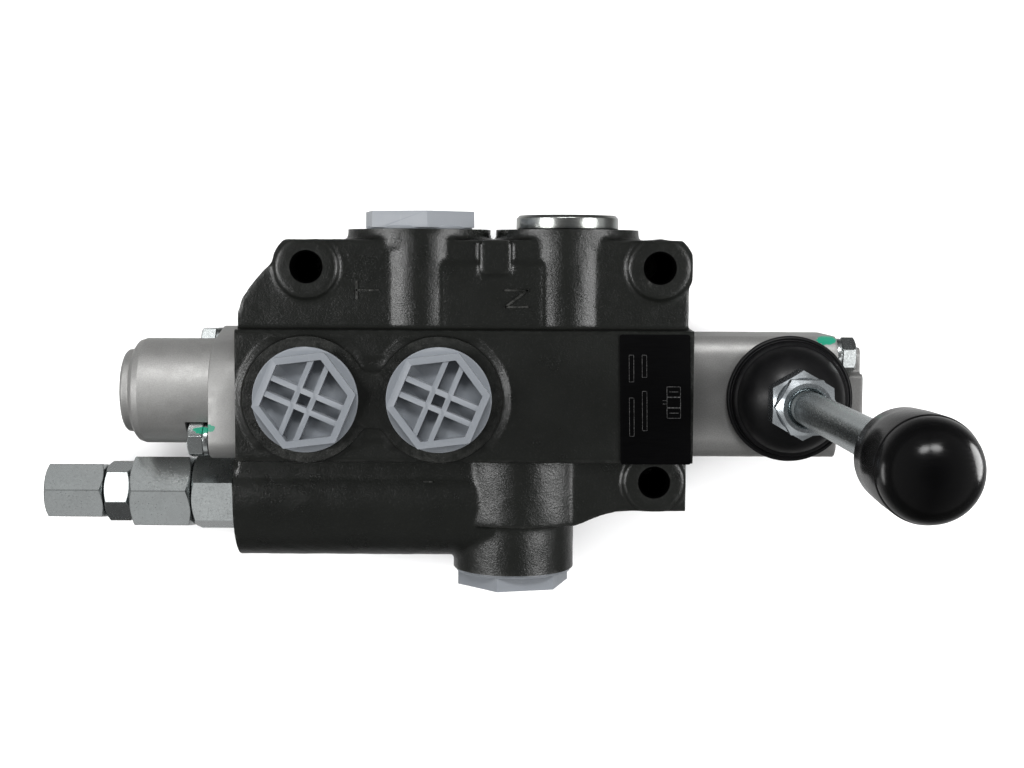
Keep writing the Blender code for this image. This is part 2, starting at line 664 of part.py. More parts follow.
def lever_jam_nut():
    hole = turned([(45, ROD_HOLE_R), (51.3, ROD_HOLE_R), (52.2, ROD_R + 1.0), (53, ROD_R + 1.0)],
                  'Z', LEVER_AT, 24)
    finish("lever_jam_nut", cut(hex_bar(16.0, 0.0, 45.9, 51.9, 'Z', LEVER_AT), hole), ZINC, PIVOT)


def lever_rod():
    stations = [(37.3, 4.4), (38.0, ROD_R), (176.4, ROD_R), (177.0, 4.4)]
    finish("lever_rod", turned(stations, 'Z', LEVER_AT, 20), ZINC, PIVOT)


def lever_knob():
    """Slightly tapered grip with a domed top and a blind hole for the rod."""
    bottom, top = KNOB_Z
    hole_r, hole_top = 5.3, 178.0
    dome_z, dome_r = bottom + 22.0, 11.4
    profile = [(bottom, hole_r), (bottom, 9.8), (bottom + 0.35, 10.6), (bottom + 1.2, 11.05),
               (bottom + 21.6, 11.6), (dome_z, dome_r)]
    for k in range(1, 6):
        angle = k / 6 * math.pi / 2
        profile.append((dome_z + (top - dome_z) * math.sin(angle), dome_r * math.cos(angle)))
    profile += [(top, 0), (hole_top, 0), (hole_top, hole_r)]
    finish("lever_knob", lathe(profile, 'Z', LEVER_AT, 24), GLOSS, PIVOT)


# -------------------------------------------------------- relief valve
def relief_turned(stations):
    return turned(stations, 'X', RELIEF_AT, 24)


def relief_hex(across_flats, twist, start, end):
    return hex_bar(across_flats, twist, start, end, 'X', RELIEF_AT)


def relief_cartridge():
    cartridge = fuse(relief_hex(RELIEF_HEX, 70.0, -88.0, -74.6),
                     relief_turned([(-80, 9.9), (-61.5, 9.9), (-60.5, 9.0), (-60.5, 7.45),
                                    (-43.0, 7.45), (-42.4, 6.9)]))
    bore = relief_turned([(-90, 7.6), (-80, 7.6), (-80, 5.65), (-47.4, 5.65), (-46.6, 3.5),
                          (-40, 3.5)])
    cross_holes = [rod(1.8, -9, 9, 'Z', (-50.4, RELIEF_Y, RELIEF_Z), 8),
                   rod(1.8, -9, 9, 'Y', (-50.4, RELIEF_Y, RELIEF_Z), 8)]
    finish("relief_cartridge", cut(cartridge, bore, *cross_holes), ZINC)
    finish("relief_seal_ring", tube(10.35, 12.6, -74.4, -73.1, 'X', RELIEF_AT, 24), RUBBER)


def relief_moving_parts():
    """Poppet, spring, the button behind it and the adjusting screw."""
    poppet = relief_turned([(-45.2, 1.6), (-47.9, 4.2), (-52.6, 4.2), (-52.6, 5.55),
                            (-60.0, 5.55), (-60.0, 3.6), (-57.0, 3.6)])
    finish("relief_poppet", poppet, STEEL, RELIEF_ORIGIN)
    finish("relief_spring", helix(4.4, 1.8, -84.2, -60.2, 5.0, 'X', RELIEF_AT, 9), SPRING)
    button = relief_turned([(-84.4, 5.4), (-88.0, 5.4), (-88.4, 4.6)])
    finish("relief_spring_button", button, STEEL, RELIEF_ORIGIN)
    adjuster = cut(relief_turned([(-88.6, 4.2), (-89.2, 4.9), (-128.9, 4.9), (-129.5, 4.2)]),
                   relief_hex(5.0, 0.0, -131, -125.5))
    finish("relief_adjust_screw", adjuster, STEEL, RELIEF_ORIGIN)


def relief_bonnet():
    bonnet = fuse(relief_hex(RELIEF_HEX, 82.0, -107.8, -88.25),
                  relief_turned([(-90, 7.35), (-81.0, 7.35), (-80.4, 6.8)]))
    bore = relief_turned([(-79, 5.75), (-91.5, 5.75), (-91.5, RELIEF_THREAD_R),
                          (-110, RELIEF_THREAD_R)])
    finish("relief_bonnet", cut(bonnet, bore), ZINC)


def relief_nuts():
    finish("relief_jam_nut", cut(relief_hex(RELIEF_NUT_HEX, 44.0, -116.5, -108.1),
                                 rod(RELIEF_THREAD_R, -118, -106, 'X', RELIEF_AT, 24)), ZINC)
    finish("relief_cap_nut", cut(relief_hex(RELIEF_NUT_HEX, 81.0, -135.7, -116.8),
                                 relief_turned([(-114, 5.3), (-132.4, 5.3), (-133.2, 4.2)])),
           ZINC)


# ---------------------------------------------------------- load check
def load_check():
    poppet = turned([(-12.2, 2.5), (-15.4, 5.7), (-15.8, 7.2), (-20.0, 7.2), (-20.0, 4.6),
                     (-16.8, 4.6)], 'Z', CHECK_AT, 20)
    finish("load_check_poppet", poppet, STEEL, (*CHECK_AT[:2], -14.0))
    finish("load_check_spring", helix(3.5, 1.1, -24.1, -17.0, 3.5, 'Z', CHECK_AT, 8), SPRING)
    plug = turned([(-24.3, 7.9), (-24.8, 8.2), (-31.4, 8.2), (-31.9, 7.7)], 'Z', CHECK_AT, 20)
    finish("load_check_plug", cut(plug, hex_bar(8.0, 0.0, -34, -27.5, 'Z', CHECK_AT)), ZINC)


# ---------------------------------------------------------- port plugs
def rib_bar(length, offset, degrees, start, end, axis, at):
    """Thin bar beside the plug axis, turned by an angle about it."""
    ux, uy = polar(1.0, degrees)
    corners = [(-length, offset - 0.8), (length, offset - 0.8),
               (length, offset + 0.8), (-length, offset + 0.8)]
    return prism([(u * ux - v * uy, u * uy + v * ux) for u, v in corners], start, end, axis, at)


def plastic_plug(name, axis, at, outward, across_flats, twist, flange_r, flange_thickness,
                 shank_r, depth, height):
    """Hexagon plug: disc, hexagon rim, crossed ribs and a thread shank.

    outward is the sign along the axis that points away from the valve.
    """
    rim = sorted((0.6 * outward, height * outward))
    shank = sorted((0.6 * outward, -depth * outward))
    recess = sorted((0.4 * outward, (height + 1) * outward))
    ribs = sorted(((height - 0.7) * outward, (-depth - 1) * outward))
    plug = fuse(rod(flange_r, 0.05 * outward, flange_thickness * outward, axis, at, 28),
                hex_bar(across_flats, twist, *rim, axis, at),
                rod(shank_r, *shank, axis, at, 20))
    # The ribs are what the recess leaves standing
    hollow = cut(hex_bar(across_flats - 4.0, twist, *recess, axis, at),
                 *[rib_bar(across_flats, offset, degrees, *ribs, axis, at)
                   for degrees in (twist - 30, twist + 60) for offset in (-2.55, 2.55)])
    finish(name, cut(plug, hollow), PLASTIC)


def plastic_plugs():
    for letter, x in zip("ab", WORK_PORTS):
        plastic_plug(f"port_plug_{letter}", 'Z', (x, PORT_Y, PORT_FACE_Z), 1,
                     across_flats=27.0, twist=6.9, flange_r=15.85, flange_thickness=1.5,
                     shank_r=10.1, depth=12.0, height=5.0)
    big = dict(across_flats=32.0, flange_thickness=1.2, shank_r=12.0, depth=13.0)
    plastic_plug("port_plug_t", 'Y', (TANK_X, RETURN_FACE_Y, RETURN_Z), 1,
                 twist=11.0, flange_r=16.6, height=5.6, **big)
    plastic_plug("port_plug_p", 'Y', (PUMP_X, PUMP_FACE_Y, PUMP_Z), -1,
                 twist=-16.0, flange_r=18.6, height=5.5, **big)


def carry_over_plug():
    """Steel plug with a hexagon socket, and the seal under its head."""
    at = (CARRY_X, 0, RETURN_Z)
    plug = turned([(38.5, 11.4), (39.1, 12.0), (51.9, 12.0), (51.9, 16.0), (55.0, 16.0),
                   (55.9, 15.6), (56.2, 14.9)], 'Y', at, 28)
    finish("carry_over_plug", cut(plug, hex_bar(12.0, 15.0, 48.0, 58.0, 'Y', at)), ZINC)
    seal = [(50.7, 12.3), (50.7, 12.6), (51.4, 13.4), (51.75, 13.4), (51.75, 12.3)]
    finish("carry_over_seal", lathe(seal, 'Y', at, 20), RUBBER)


# ---------------------------------------------------------- data plate
def label_plate():
    """Thin plate on top of the block, its long edges leaning slightly toward -X."""
    tilt = math.radians(1.6)
    outline = [(57.5 + u * math.cos(tilt) - v * math.sin(tilt) * 0.6, 0.6 + v)
               for u, v in rounded_rect(-10.6, 10.6, -19.6, 19.6, 0.8, 2)]
    finish("label_plate", prism(outline, BLOCK_TOP + 0.05, BLOCK_TOP + 0.65), LABEL)


# ------------------------------------------------------------ assembly
for old in list(bpy.data.objects):
    bpy.data.objects.remove(old, do_unlink=True)

valve_body()
spool()
spool_seals()
spring_cap()
centring_parts()
screws_and_washers("cap", CAP_SCREWS, CAP_FLANGE_X - 0.3, -1, head_height=4.7)
lever_housing()
screws_and_washers("housing", HOUSING_SCREWS, HOUSING_FACE_X + 0.25, 1, head_height=4.25)
ball_socket("ball_socket_lower", 15.7, 20.3)
ball_socket("ball_socket_upper", 20.6, 23.8)
snap_ring()
lever_ball_stud()
lever_jam_nut()
lever_rod()
lever_knob()
finish("lever_boot", lathe(BOOT, 'Z', LEVER_AT, 28), RUBBER)
relief_cartridge()
relief_moving_parts()
relief_bonnet()
relief_nuts()
load_check()
plastic_plugs()
carry_over_plug()
label_plate()
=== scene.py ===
"""Looks for a single-spool monoblock directional control valve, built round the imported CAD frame.

The spool lies along X, with the hand lever at its +X end and the spring cap at its -X end. Ports
A and B open upwards, T and N face +Y and P faces -Y. Shapes are written in millimetres with Z
measured from the spool axis, and become metres in the row frame when a piece is finished.
"""

import json
import math

import bmesh
import bpy
import numpy as np
from mathutils import Matrix, Vector, noise

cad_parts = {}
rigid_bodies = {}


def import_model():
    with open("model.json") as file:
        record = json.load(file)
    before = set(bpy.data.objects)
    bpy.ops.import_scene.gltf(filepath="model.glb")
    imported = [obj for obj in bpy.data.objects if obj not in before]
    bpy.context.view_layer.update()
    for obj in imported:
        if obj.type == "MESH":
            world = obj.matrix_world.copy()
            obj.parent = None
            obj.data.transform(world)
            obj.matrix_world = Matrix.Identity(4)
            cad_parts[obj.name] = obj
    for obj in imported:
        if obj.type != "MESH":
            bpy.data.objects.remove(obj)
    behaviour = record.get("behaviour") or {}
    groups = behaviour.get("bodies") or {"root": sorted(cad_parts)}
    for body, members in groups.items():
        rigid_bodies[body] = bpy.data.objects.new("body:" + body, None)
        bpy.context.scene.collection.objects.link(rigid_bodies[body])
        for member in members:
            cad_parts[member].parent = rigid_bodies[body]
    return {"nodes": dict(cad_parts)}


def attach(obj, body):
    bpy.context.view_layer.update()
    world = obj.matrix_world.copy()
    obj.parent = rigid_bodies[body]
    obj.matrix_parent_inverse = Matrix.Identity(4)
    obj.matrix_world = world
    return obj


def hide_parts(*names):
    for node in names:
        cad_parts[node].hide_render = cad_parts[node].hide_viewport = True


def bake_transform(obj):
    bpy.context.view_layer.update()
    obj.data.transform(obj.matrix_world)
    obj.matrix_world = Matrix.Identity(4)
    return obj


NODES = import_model()["nodes"]
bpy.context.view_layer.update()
SCENE = bpy.context.scene
COLL = SCENE.collection
MM = 0.001

# ------------------------------------------------------------ driving dimensions
AXIS_H = 33.0                    # spool axis above the floor
BASE = -AXIS_H                   # underside of the body
END = 69.0                       # machined body ends at +END and -END
RELIEF_FACE = -73.0              # machined face round the relief valve
AB_FACE, T_FACE, P_FACE = 35.0, 51.6, -57.3
STOCK = 2.5                      # cast allowance that the machining takes off
PORT_A_X, PORT_B_X, PORT_AB_Y = -47.5, -7.5, 0.4
PORT_T = (-15.0, 0, 6.0)
PORT_N = (31.6, 0, 6.0)
PORT_P = (15.0, 0, -5.0)
RELIEF = (0, -33.2, -3.6)
CHECK = (-27.5, -26.0, 0)
LEVER = (100.0, 0, 0)
HOUSING_START = END + 0.3
FIXINGS = ((-48.0, 40.0, 26.5), (59.0, 40.0, 26.5), (59.0, -27.0, 14.5))  # x, y, casting top
CAP_SCREWS = ((-14.5, 12.0), (14.5, -12.0))                               # y, z
HOUSING_SCREWS = ((13.0, 12.0), (-13.0, -12.0))                           # y, z
# start and end along X of the grooves in the spool bore
GROOVES = ((-62.0, -56.0), (-51.5, -43.5), (-31.5, -23.5), (-11.5, -3.5), (1.0, 7.0),
           (17.5, 23.5), (29.0, 35.6))

# --------------------------------------------------------------- mesh helpers
# local (u, v, along) to x, y, z for each sweep axis
TURN_TO = {'Z': Matrix(((1, 0, 0), (0, 1, 0), (0, 0, 1))),
           'X': Matrix(((0, 0, 1), (1, 0, 0), (0, 1, 0))),
           'Y': Matrix(((0, 1, 0), (0, 0, 1), (1, 0, 0)))}


def new_object(mesh):
    ob = bpy.data.objects.new("work", mesh)
    COLL.objects.link(ob)
    return ob


def discard(objects):
    for ob in objects:
        bpy.data.objects.remove(ob, do_unlink=True)


def solid(points, faces):
    mesh = bpy.data.meshes.new("work")
    mesh.from_pydata([tuple(p) for p in points], [], faces)
    bm = bmesh.new()
    bm.from_mesh(mesh)
    bmesh.ops.recalc_face_normals(bm, faces=bm.faces)
    bm.to_mesh(mesh)
    bm.free()
    return new_object(mesh)


def place(points, axis, at):
    return [TURN_TO[axis] @ Vector(p) + Vector(at) for p in points]


def walls(n, layers):
    """Quads between successive rings of n points."""
    return [(j * n + i, j * n + (i + 1) % n, (j + 1) * n + (i + 1) % n, (j + 1) * n + i)
            for j in range(layers - 1) for i in range(n)]


def lids(n, layers):
    return [tuple(range(n)), tuple(range((layers - 1) * n, layers * n))]


def prism(outline, start, end, axis='Z', at=(0, 0, 0)):
    """Outline swept along an axis."""
    n = len(outline)
    points = [(x, y, a) for a in (start, end) for x, y in outline]
    return solid(place(points, axis, at), lids(n, 2) + walls(n, 2))


def box(x0, x1, y0, y1, z0, z1):
    return prism([(x0, y0), (x1, y0), (x1, y1), (x0, y1)], z0, z1)


def lathe(profile, axis='Z', at=(0, 0, 0), seg=96):
    """Closed profile of (along, radius) turned about an axis."""
    points, rings = [], []
    for along, r in profile:
        first = len(points)
        if r < 1e-6:
            points.append((0, 0, along))
        else:
            for k in range(seg):
                t = 2 * math.pi * k / seg
                points.append((r * math.cos(t), r * math.sin(t), along))
        rings.append(list(range(first, len(points))))
    faces = []
    for i, p in enumerate(rings):
        j = (i + 1) % len(rings)
        q = rings[j]
        if len(p) == 1 and len(q) == 1:
            continue
        if len(p) == 1 or len(q) == 1:
            pole, ring = (p, q) if len(p) == 1 else (q, p)
            if abs(profile[i][0] - profile[j][0]) < 1e-6:
                faces.append(tuple(ring))
            else:
                faces += [(pole[0], ring[k], ring[(k + 1) % seg]) for k in range(seg)]
            continue
        faces += [(p[k], p[(k + 1) % seg], q[(k + 1) % seg], q[k]) for k in range(seg)]
    # centre points of flat ends belong to no face and are dropped
    used = sorted({i for f in faces for i in f})
    renumber = {old: new for new, old in enumerate(used)}
    return solid(place([points[i] for i in used], axis, at),
                 [tuple(renumber[i] for i in f) for f in faces])


def turned(points, axis='Z', at=(0, 0, 0), seg=96, edge=0.0):
    """Solid of revolution under an open (along, radius) line, its corners rounded by edge."""
    profile = [(points[0][0], 0), *points, (points[-1][0], 0)]
    return lathe(soft(profile, edge) if edge else profile, axis, at, seg)


def rod(r, start, end, axis='Z', at=(0, 0, 0), seg=96):
    return turned([(start, r), (end, r)], axis, at, seg)


def soft(profile, radius, steps=3):
    """The same closed outline with each corner off the turning axis rounded."""
    out = []
    for i in range(len(profile)):
        p, before, after = (Vector(profile[j]) for j in (i, i - 1, (i + 1) % len(profile)))
        u, v = before - p, after - p
        len_u, len_v = u.length, v.length
        if p[1] < 1e-6 or len_u < 1e-6 or len_v < 1e-6:
            out.append(tuple(p))
            continue
        u.normalize()
        v.normalize()
        angle = math.acos(max(-1.0, min(1.0, u.dot(v))))
        if angle > math.radians(164):
            out.append(tuple(p))
            continue
        d = min(radius / math.tan(angle / 2), 0.45 * len_u, 0.45 * len_v)
        for k in range(steps + 1):
            t = k / steps
            bend = (p + u * d) * (1 - t) ** 2 + p * 2 * t * (1 - t) + (p + v * d) * t * t
            out.append(tuple(bend))
    return out


def soft_flat(outline, radius):
    """Round the corners of an outline that surrounds the origin."""
    shift = 1000.0
    return [(x, y - shift) for x, y in soft([(x, y + shift) for x, y in outline], radius)]


def hexagon(across_flats, twist=0.0):
    r = across_flats / math.sqrt(3)
    angles = [math.radians(twist + 60 * k) for k in range(6)]
    return [(r * math.cos(a), r * math.sin(a)) for a in angles]


def arc(cx, cy, r, from_deg, to_deg, steps):
    angles = [math.radians(from_deg + (to_deg - from_deg) * k / steps) for k in range(steps + 1)]
    return [(cx + r * math.cos(a), cy + r * math.sin(a)) for a in angles]


def rounded_rect(x0, x1, y0, y1, r, n=8):
    return (arc(x1 - r, y0 + r, r, -90, 0, n) + arc(x1 - r, y1 - r, r, 0, 90, n)
            + arc(x0 + r, y1 - r, r, 90, 180, n) + arc(x0 + r, y0 + r, r, 180, 270, n))


def modify(ob, kind, **settings):
    mod = ob.modifiers.new("step", kind)
    for key, value in settings.items():
        setattr(mod, key, value)


def bake(ob):
    """Apply the modifiers."""
    bpy.context.view_layer.update()
    evaluated = ob.evaluated_get(bpy.context.evaluated_depsgraph_get())
    mesh = bpy.data.meshes.new_from_object(evaluated)
    ob.modifiers.clear()
    ob.data = mesh
    return ob


def combine(base, tools, operation, solver='EXACT'):
    for tool in tools:
        modify(base, 'BOOLEAN', operation=operation, solver=solver, object=tool)
    bake(base)
    discard(tools)
    return base


def fuse(base, *tools):
    return combine(base, tools, 'UNION')


def cut(base, *tools):
    return combine(base, tools, 'DIFFERENCE')


def common(base, *tools):
    return combine(base, tools, 'INTERSECT')


def cut_in_turn(base, tools, solver='MANIFOLD'):
    for tool in tools:
        combine(base, [tool], 'DIFFERENCE', solver)


def join(parts):
    """One object that holds the parts as loose shells."""
    bm = bmesh.new()
    for part in parts:
        bm.from_mesh(part.data)
    mesh = bpy.data.meshes.new("work")
    bm.to_mesh(mesh)
    bm.free()
    discard(parts)
    return new_object(mesh)


def bevel(ob, width, angle=24):
    modify(ob, 'BEVEL', width=width, segments=2, limit_method='ANGLE',
           angle_limit=math.radians(angle), use_clamp_overlap=True, miter_outer='MITER_ARC')
    return bake(ob)


def casting(parts, voxel, rounds, keep, uneven, scale):
    """Overlapping solids run together with soft fillets and an uneven skin, then thinned."""
    ob = join(parts)
    modify(ob, 'REMESH', mode='VOXEL', voxel_size=voxel, adaptivity=0.0)
    modify(ob, 'SMOOTH', factor=0.5, iterations=rounds)
    bake(ob)
    mesh = ob.data
    co = np.empty(len(mesh.vertices) * 3)
    normals = np.empty(len(mesh.vertices) * 3)
    mesh.vertices.foreach_get("co", co)
    mesh.vertices.foreach_get("normal", normals)
    co, normals = co.reshape(-1, 3), normals.reshape(-1, 3)
    shift = Vector((7, 3, 1))    # keeps the fine waves apart from the coarse ones
    height = [noise.noise(Vector(p) * scale) + 0.4 * noise.noise(Vector(p) * scale * 3.1 + shift)
              for p in co.tolist()]
    co += normals * (uneven * np.array(height))[:, None]
    mesh.vertices.foreach_set("co", co.ravel())
    mesh.update()
    modify(ob, 'DECIMATE', ratio=keep)
    return bake(ob)


def finish(name, ob, node, looks, smooth=30.0, even=False, body="valve"):
    """To metres in the row frame; the piece rides on its body and stands for its CAD node."""
    mesh = ob.data
    bm = bmesh.new()
    bm.from_mesh(mesh)
    for v in bm.verts:
        v.co = Vector((v.co.x, v.co.y, v.co.z + AXIS_H)) * MM
    bmesh.ops.remove_doubles(bm, verts=bm.verts, dist=1e-7)
    bmesh.ops.recalc_face_normals(bm, faces=bm.faces)
    bm.to_mesh(mesh)
    bm.free()
    index = [p.material_index for p in mesh.polygons]
    mesh.materials.clear()
    for look in looks:
        mesh.materials.append(look)
    if len(looks) > 1:
        mesh.polygons.foreach_set("material_index", index)
    mesh.shade_smooth()
    mesh.set_sharp_from_angle(angle=math.radians(smooth))
    if even:
        # broad faces keep their own direction where a small edge break meets them
        modify(ob, 'WEIGHTED_NORMAL', keep_sharp=True)
        bake(ob)
    ob.data.name = name
    ob.name = name
    if body:
        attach(ob, body)
    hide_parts(node)
    return ob


# ------------------------------------------------------------ material helpers
class Graph:
    """Short ways to add nodes; an input is either a number, a tuple or another node's output."""

    def __init__(self, tree, coordinate):
        self.tree = tree
        self.pos = self.node("ShaderNodeTexCoord", {}).outputs[coordinate]

    def put(self, node, key, value):
        if hasattr(value, "links"):
            self.tree.links.new(value, node.inputs[key])
        else:
            node.inputs[key].default_value = value

    def node(self, kind, inputs, **settings):
        node = self.tree.nodes.new(kind)
        for key, value in settings.items():
            setattr(node, key, value)
        for key, value in inputs.items():
            self.put(node, key, value)
        return node

    def axes(self):
        return self.node("ShaderNodeSeparateXYZ", {0: self.pos}).outputs

    def math(self, op, *values):
        return self.node("ShaderNodeMath", dict(enumerate(values)), operation=op).outputs[0]


class Look(Graph):
    """Node material driven by the row-frame position."""

    def __init__(self, name):
        self.mat = bpy.data.materials.new(name)
        self.mat.use_nodes = True
        super().__init__(self.mat.node_tree, "Object")
        self.bsdf = self.tree.nodes["Principled BSDF"]

    def vec(self, op, *values):
        node = self.node("ShaderNodeVectorMath", dict(enumerate(values)), operation=op)
        return node.outputs["Value" if op == 'LENGTH' else "Vector"]

    def noise(self, scale, detail=2.0, rough=0.5, stretch=None, distort=0.0):
        vector = self.vec('MULTIPLY', self.pos, stretch) if stretch else self.pos
        return self.node("ShaderNodeTexNoise", {
            "Vector": vector, "Scale": scale, "Detail": detail, "Roughness": rough,
            "Distortion": distort}).outputs["Fac"]

    def cells(self, scale):
        inputs = {"Vector": self.pos, "Scale": scale}
        return self.node("ShaderNodeTexVoronoi", inputs).outputs["Distance"]

    def ramp(self, fac, stops):
        """Grey ramp; stops map position to grey in rising order."""
        node = self.node("ShaderNodeValToRGB", {0: fac})
        elements = node.color_ramp.elements
        while len(elements) < len(stops):
            elements.new(0.5)
        for element, (position, grey) in zip(elements, stops.items()):
            element.position = position
            element.color = (grey, grey, grey, 1)
        return node.outputs["Color"]

    def mix(self, fac, start, end):
        """start where fac is 0, end where it is 1; a lone number is a grey."""
        inputs = {0: fac}
        for key, value in ((6, start), (7, end)):
            if isinstance(value, float):
                value = (value,) * 3
            inputs[key] = (*value, 1.0) if isinstance(value, tuple) else value
        return self.node("ShaderNodeMix", inputs, data_type='RGBA').outputs[2]

    def bump(self, height, strength, distance, over=None):
        """Bumps of distance metres, laid over an earlier normal."""
        inputs = {"Strength": strength, "Distance": distance, "Height": height}
        if over is not None:
            inputs["Normal"] = over
        return self.node("ShaderNodeBump", inputs).outputs["Normal"]

    def edge(self, low, high):
        """Rises from 0 to 1 between two values of convexity."""
        geometry = self.node("ShaderNodeNewGeometry", {})
        return self.ramp(geometry.outputs["Pointiness"], {low: 0.0, high: 1.0})

    def spot(self, centre, size, wobble=0.45):
        """1 inside a ragged blob round a point (mm, Z from the spool axis)."""
        middle = Vector((centre[0], centre[1], centre[2] + AXIS_H)) * MM
        d = self.vec('SUBTRACT', self.pos, tuple(middle))
        d = self.vec('MULTIPLY', d, tuple(1.0 / (s * MM) for s in size))
        r = self.vec('LENGTH', d)
        ragged = self.math('SUBTRACT', self.noise(scale=900.0, detail=3), 0.5)
        r = self.math('ADD', r, self.math('MULTIPLY', ragged, wobble * 2))
        return self.ramp(r, {0.86: 1.0, 0.92: 0.0})

    def green_paint(self, mark, base, rough):
        """Mask, colour and roughness with a dab of green paint at (centre, size)."""
        mask = self.spot(*mark)
        base = self.mix(mask, base, (0.0075, 0.27, 0.165))
        return mask, base, self.mix(mask, rough, 0.34)

    def done(self, base, rough, normal, metal=0.0, spec=None):
        inputs = {"Base Color": base, "Roughness": rough, "Metallic": metal, "Normal": normal}
        if spec is not None:
            inputs["Specular IOR Level"] = spec
        for key, value in inputs.items():
            self.put(self.bsdf, key, value)
        return self.mat


# ------------------------------------------------------------------ materials
def iron_base(k):
    """Cloud, grit and the fleck-covered iron colour."""
    tone = k.noise(scale=55, detail=4, rough=0.6)
    grit = k.noise(scale=1500, detail=4, rough=0.68)
    base = k.mix(tone, (0.0054, 0.0060, 0.0052), (0.0100, 0.0109, 0.0096))
    fleck = k.ramp(grit, {0.58: 0.0, 0.80: 0.5})
    return tone, grit, k.mix(fleck, base, (0.036, 0.038, 0.035))


def machined_iron(name):
    k = Look(name)
    base = iron_base(k)[2]
    lines = k.noise(scale=900, stretch=(6.0, 0.25, 1.0))
    rough = k.ramp(lines, {0.3: 0.34, 0.7: 0.50})
    return k.done(base, rough, k.bump(lines, strength=0.25, distance=0.00004), spec=0.34)


def cast_iron(name):
    k = Look(name)
    tone, grit, base = iron_base(k)
    # convex edges in patches are painted lighter: partly edge wear, partly painted highlight on the
    # rims
    patches = k.ramp(k.noise(scale=420, detail=4, rough=0.7), {0.40: 0.0, 0.62: 1.0})
    wear_and_highlight = k.math('MULTIPLY', k.edge(low=0.515, high=0.60), patches)
    base = k.mix(k.math('MULTIPLY', wear_and_highlight, 0.5), base, (0.10, 0.10, 0.095))
    rough = k.mix(tone, 0.24, 0.33)
    rough = k.mix(wear_and_highlight, rough, 0.24)
    pits = k.ramp(k.cells(scale=1300), {0.0: 0.0, 0.30: 1.0})
    swell = k.noise(scale=330, detail=3, rough=0.55)
    normal = k.bump(swell, strength=0.28, distance=0.00026)
    normal = k.bump(grit, strength=0.55, distance=0.00022, over=normal)
    normal = k.bump(pits, strength=0.22, distance=0.00010, over=normal)
    spec = 0.36
    for x, y, _ in FIXINGS:
        # painted shade: the walls of the fixing holes are made near black and without sheen
        mask = k.spot((x, y, 0.0), size=(5.75, 5.75, 400.0), wobble=0.01)
        base = k.mix(mask, base, 0.0006)
        rough = k.mix(mask, rough, 0.75)
        spec = k.math('MULTIPLY', k.math('SUBTRACT', 1.0, mask), spec)
    return k.done(base, rough, normal, spec=spec)


def cap_root_painted_shade(k, base):
    """Painted shade: darkens the cap flange towards the body."""
    start, end = -80.6 * MM, -69.0 * MM
    along = k.math('SUBTRACT', k.axes()["X"], start)
    along = k.math('MULTIPLY', along, 1 / (end - start))
    band = k.ramp(along, {0.0: 0.0, 0.04: 0.35, 1.0: 1.0})
    return k.mix(k.math('MULTIPLY', band, 0.42), base, 0.03)


def housing_middle_painted_shade(k, base):
    """Painted shade: darkens the lever housing along its middle."""
    half_width = 19 * MM
    across = k.math('MULTIPLY', k.math('ABSOLUTE', k.axes()["Y"], 0.0), 1 / half_width)
    band = k.ramp(across, {0.30: 1.0, 0.86: 0.0})
    return k.mix(k.math('MULTIPLY', band, 0.45), base, 0.02)


def die_cast(name, mark, shade):
    k = Look(name)
    tone = k.noise(scale=70, detail=4, rough=0.6)
    grain = k.noise(scale=3000, detail=3, rough=0.6)
    base = k.mix(tone, (0.350, 0.348, 0.341), (0.455, 0.452, 0.442))
    base = k.mix(k.ramp(grain, {0.35: 0.35, 0.7: 0.0}), base, (0.15, 0.15, 0.147))
    rub = k.math('MULTIPLY', k.edge(low=0.52, high=0.62), 0.7)
    # the shade function paints a band of painted shade into the colour
    base = shade(k, k.mix(rub, base, (0.55, 0.55, 0.54)))
    rough = k.ramp(k.noise(scale=240, detail=4, rough=0.65), {0.3: 0.46, 0.7: 0.60})
    mask, base, rough = k.green_paint(mark, base, rough)
    metal = k.math('MULTIPLY', k.math('SUBTRACT', 1.0, mask), 0.72)
    normal = k.bump(grain, strength=0.38, distance=0.00009)
    swell = k.noise(scale=420, detail=3, rough=0.6)
    normal = k.bump(swell, strength=0.22, distance=0.00018, over=normal)
    return k.done(base, rough, normal, metal)


def zinc(name, lines=None, tint=(0.56, 0.59, 0.59), mark=None, rough=(0.18, 0.30), calm=1.0):
    """Plating; lines stretches turning marks, rough is the range, a low calm flattens the skin."""
    k = Look(name)
    cloud = k.noise(scale=150, detail=4, rough=0.65, distort=0.4)
    fine = k.noise(scale=1500, detail=4, rough=0.7)
    base = k.mix(cloud, tuple(c * 0.80 for c in tint), tuple(min(1.0, c * 1.12) for c in tint))
    haze = k.ramp(k.noise(scale=90, detail=3), {0.48: 0.0, 0.66: 0.45})
    base = k.mix(haze, base, (0.56, 0.60, 0.60))
    base = k.mix(k.ramp(fine, {0.56: 0.0, 0.72: 0.35 * calm}), base, (0.34, 0.35, 0.36))
    gloss = k.ramp(fine, {0.3: rough[0], 0.7: rough[1]})
    metal = 1.0
    if mark:
        mask, base, gloss = k.green_paint(mark, base, gloss)
        metal = k.math('SUBTRACT', 1.0, mask)
    swell = k.noise(scale=420, detail=3, rough=0.6)
    normal = k.bump(swell, strength=0.07 * calm, distance=0.00007)
    normal = k.bump(fine, strength=0.05 * calm, distance=0.00003, over=normal)
    if lines:
        marks = k.noise(scale=1000, stretch=lines)
        normal = k.bump(marks, strength=0.20, distance=0.00003, over=normal)
    return k.done(base, gloss, normal, metal)


def steel(name, tone, lines, rough):
    k = Look(name)
    ring = k.noise(scale=1100, detail=3, rough=0.6, stretch=lines)
    dark, light = (tuple(c * share for c in tone) for share in (0.85, 1.1))
    base = k.mix(k.noise(scale=120, detail=3), dark, light)
    gloss = k.ramp(ring, {0.3: rough[0], 0.7: rough[1]})
    return k.done(base, gloss, k.bump(ring, strength=0.2, distance=0.00003), metal=1.0)


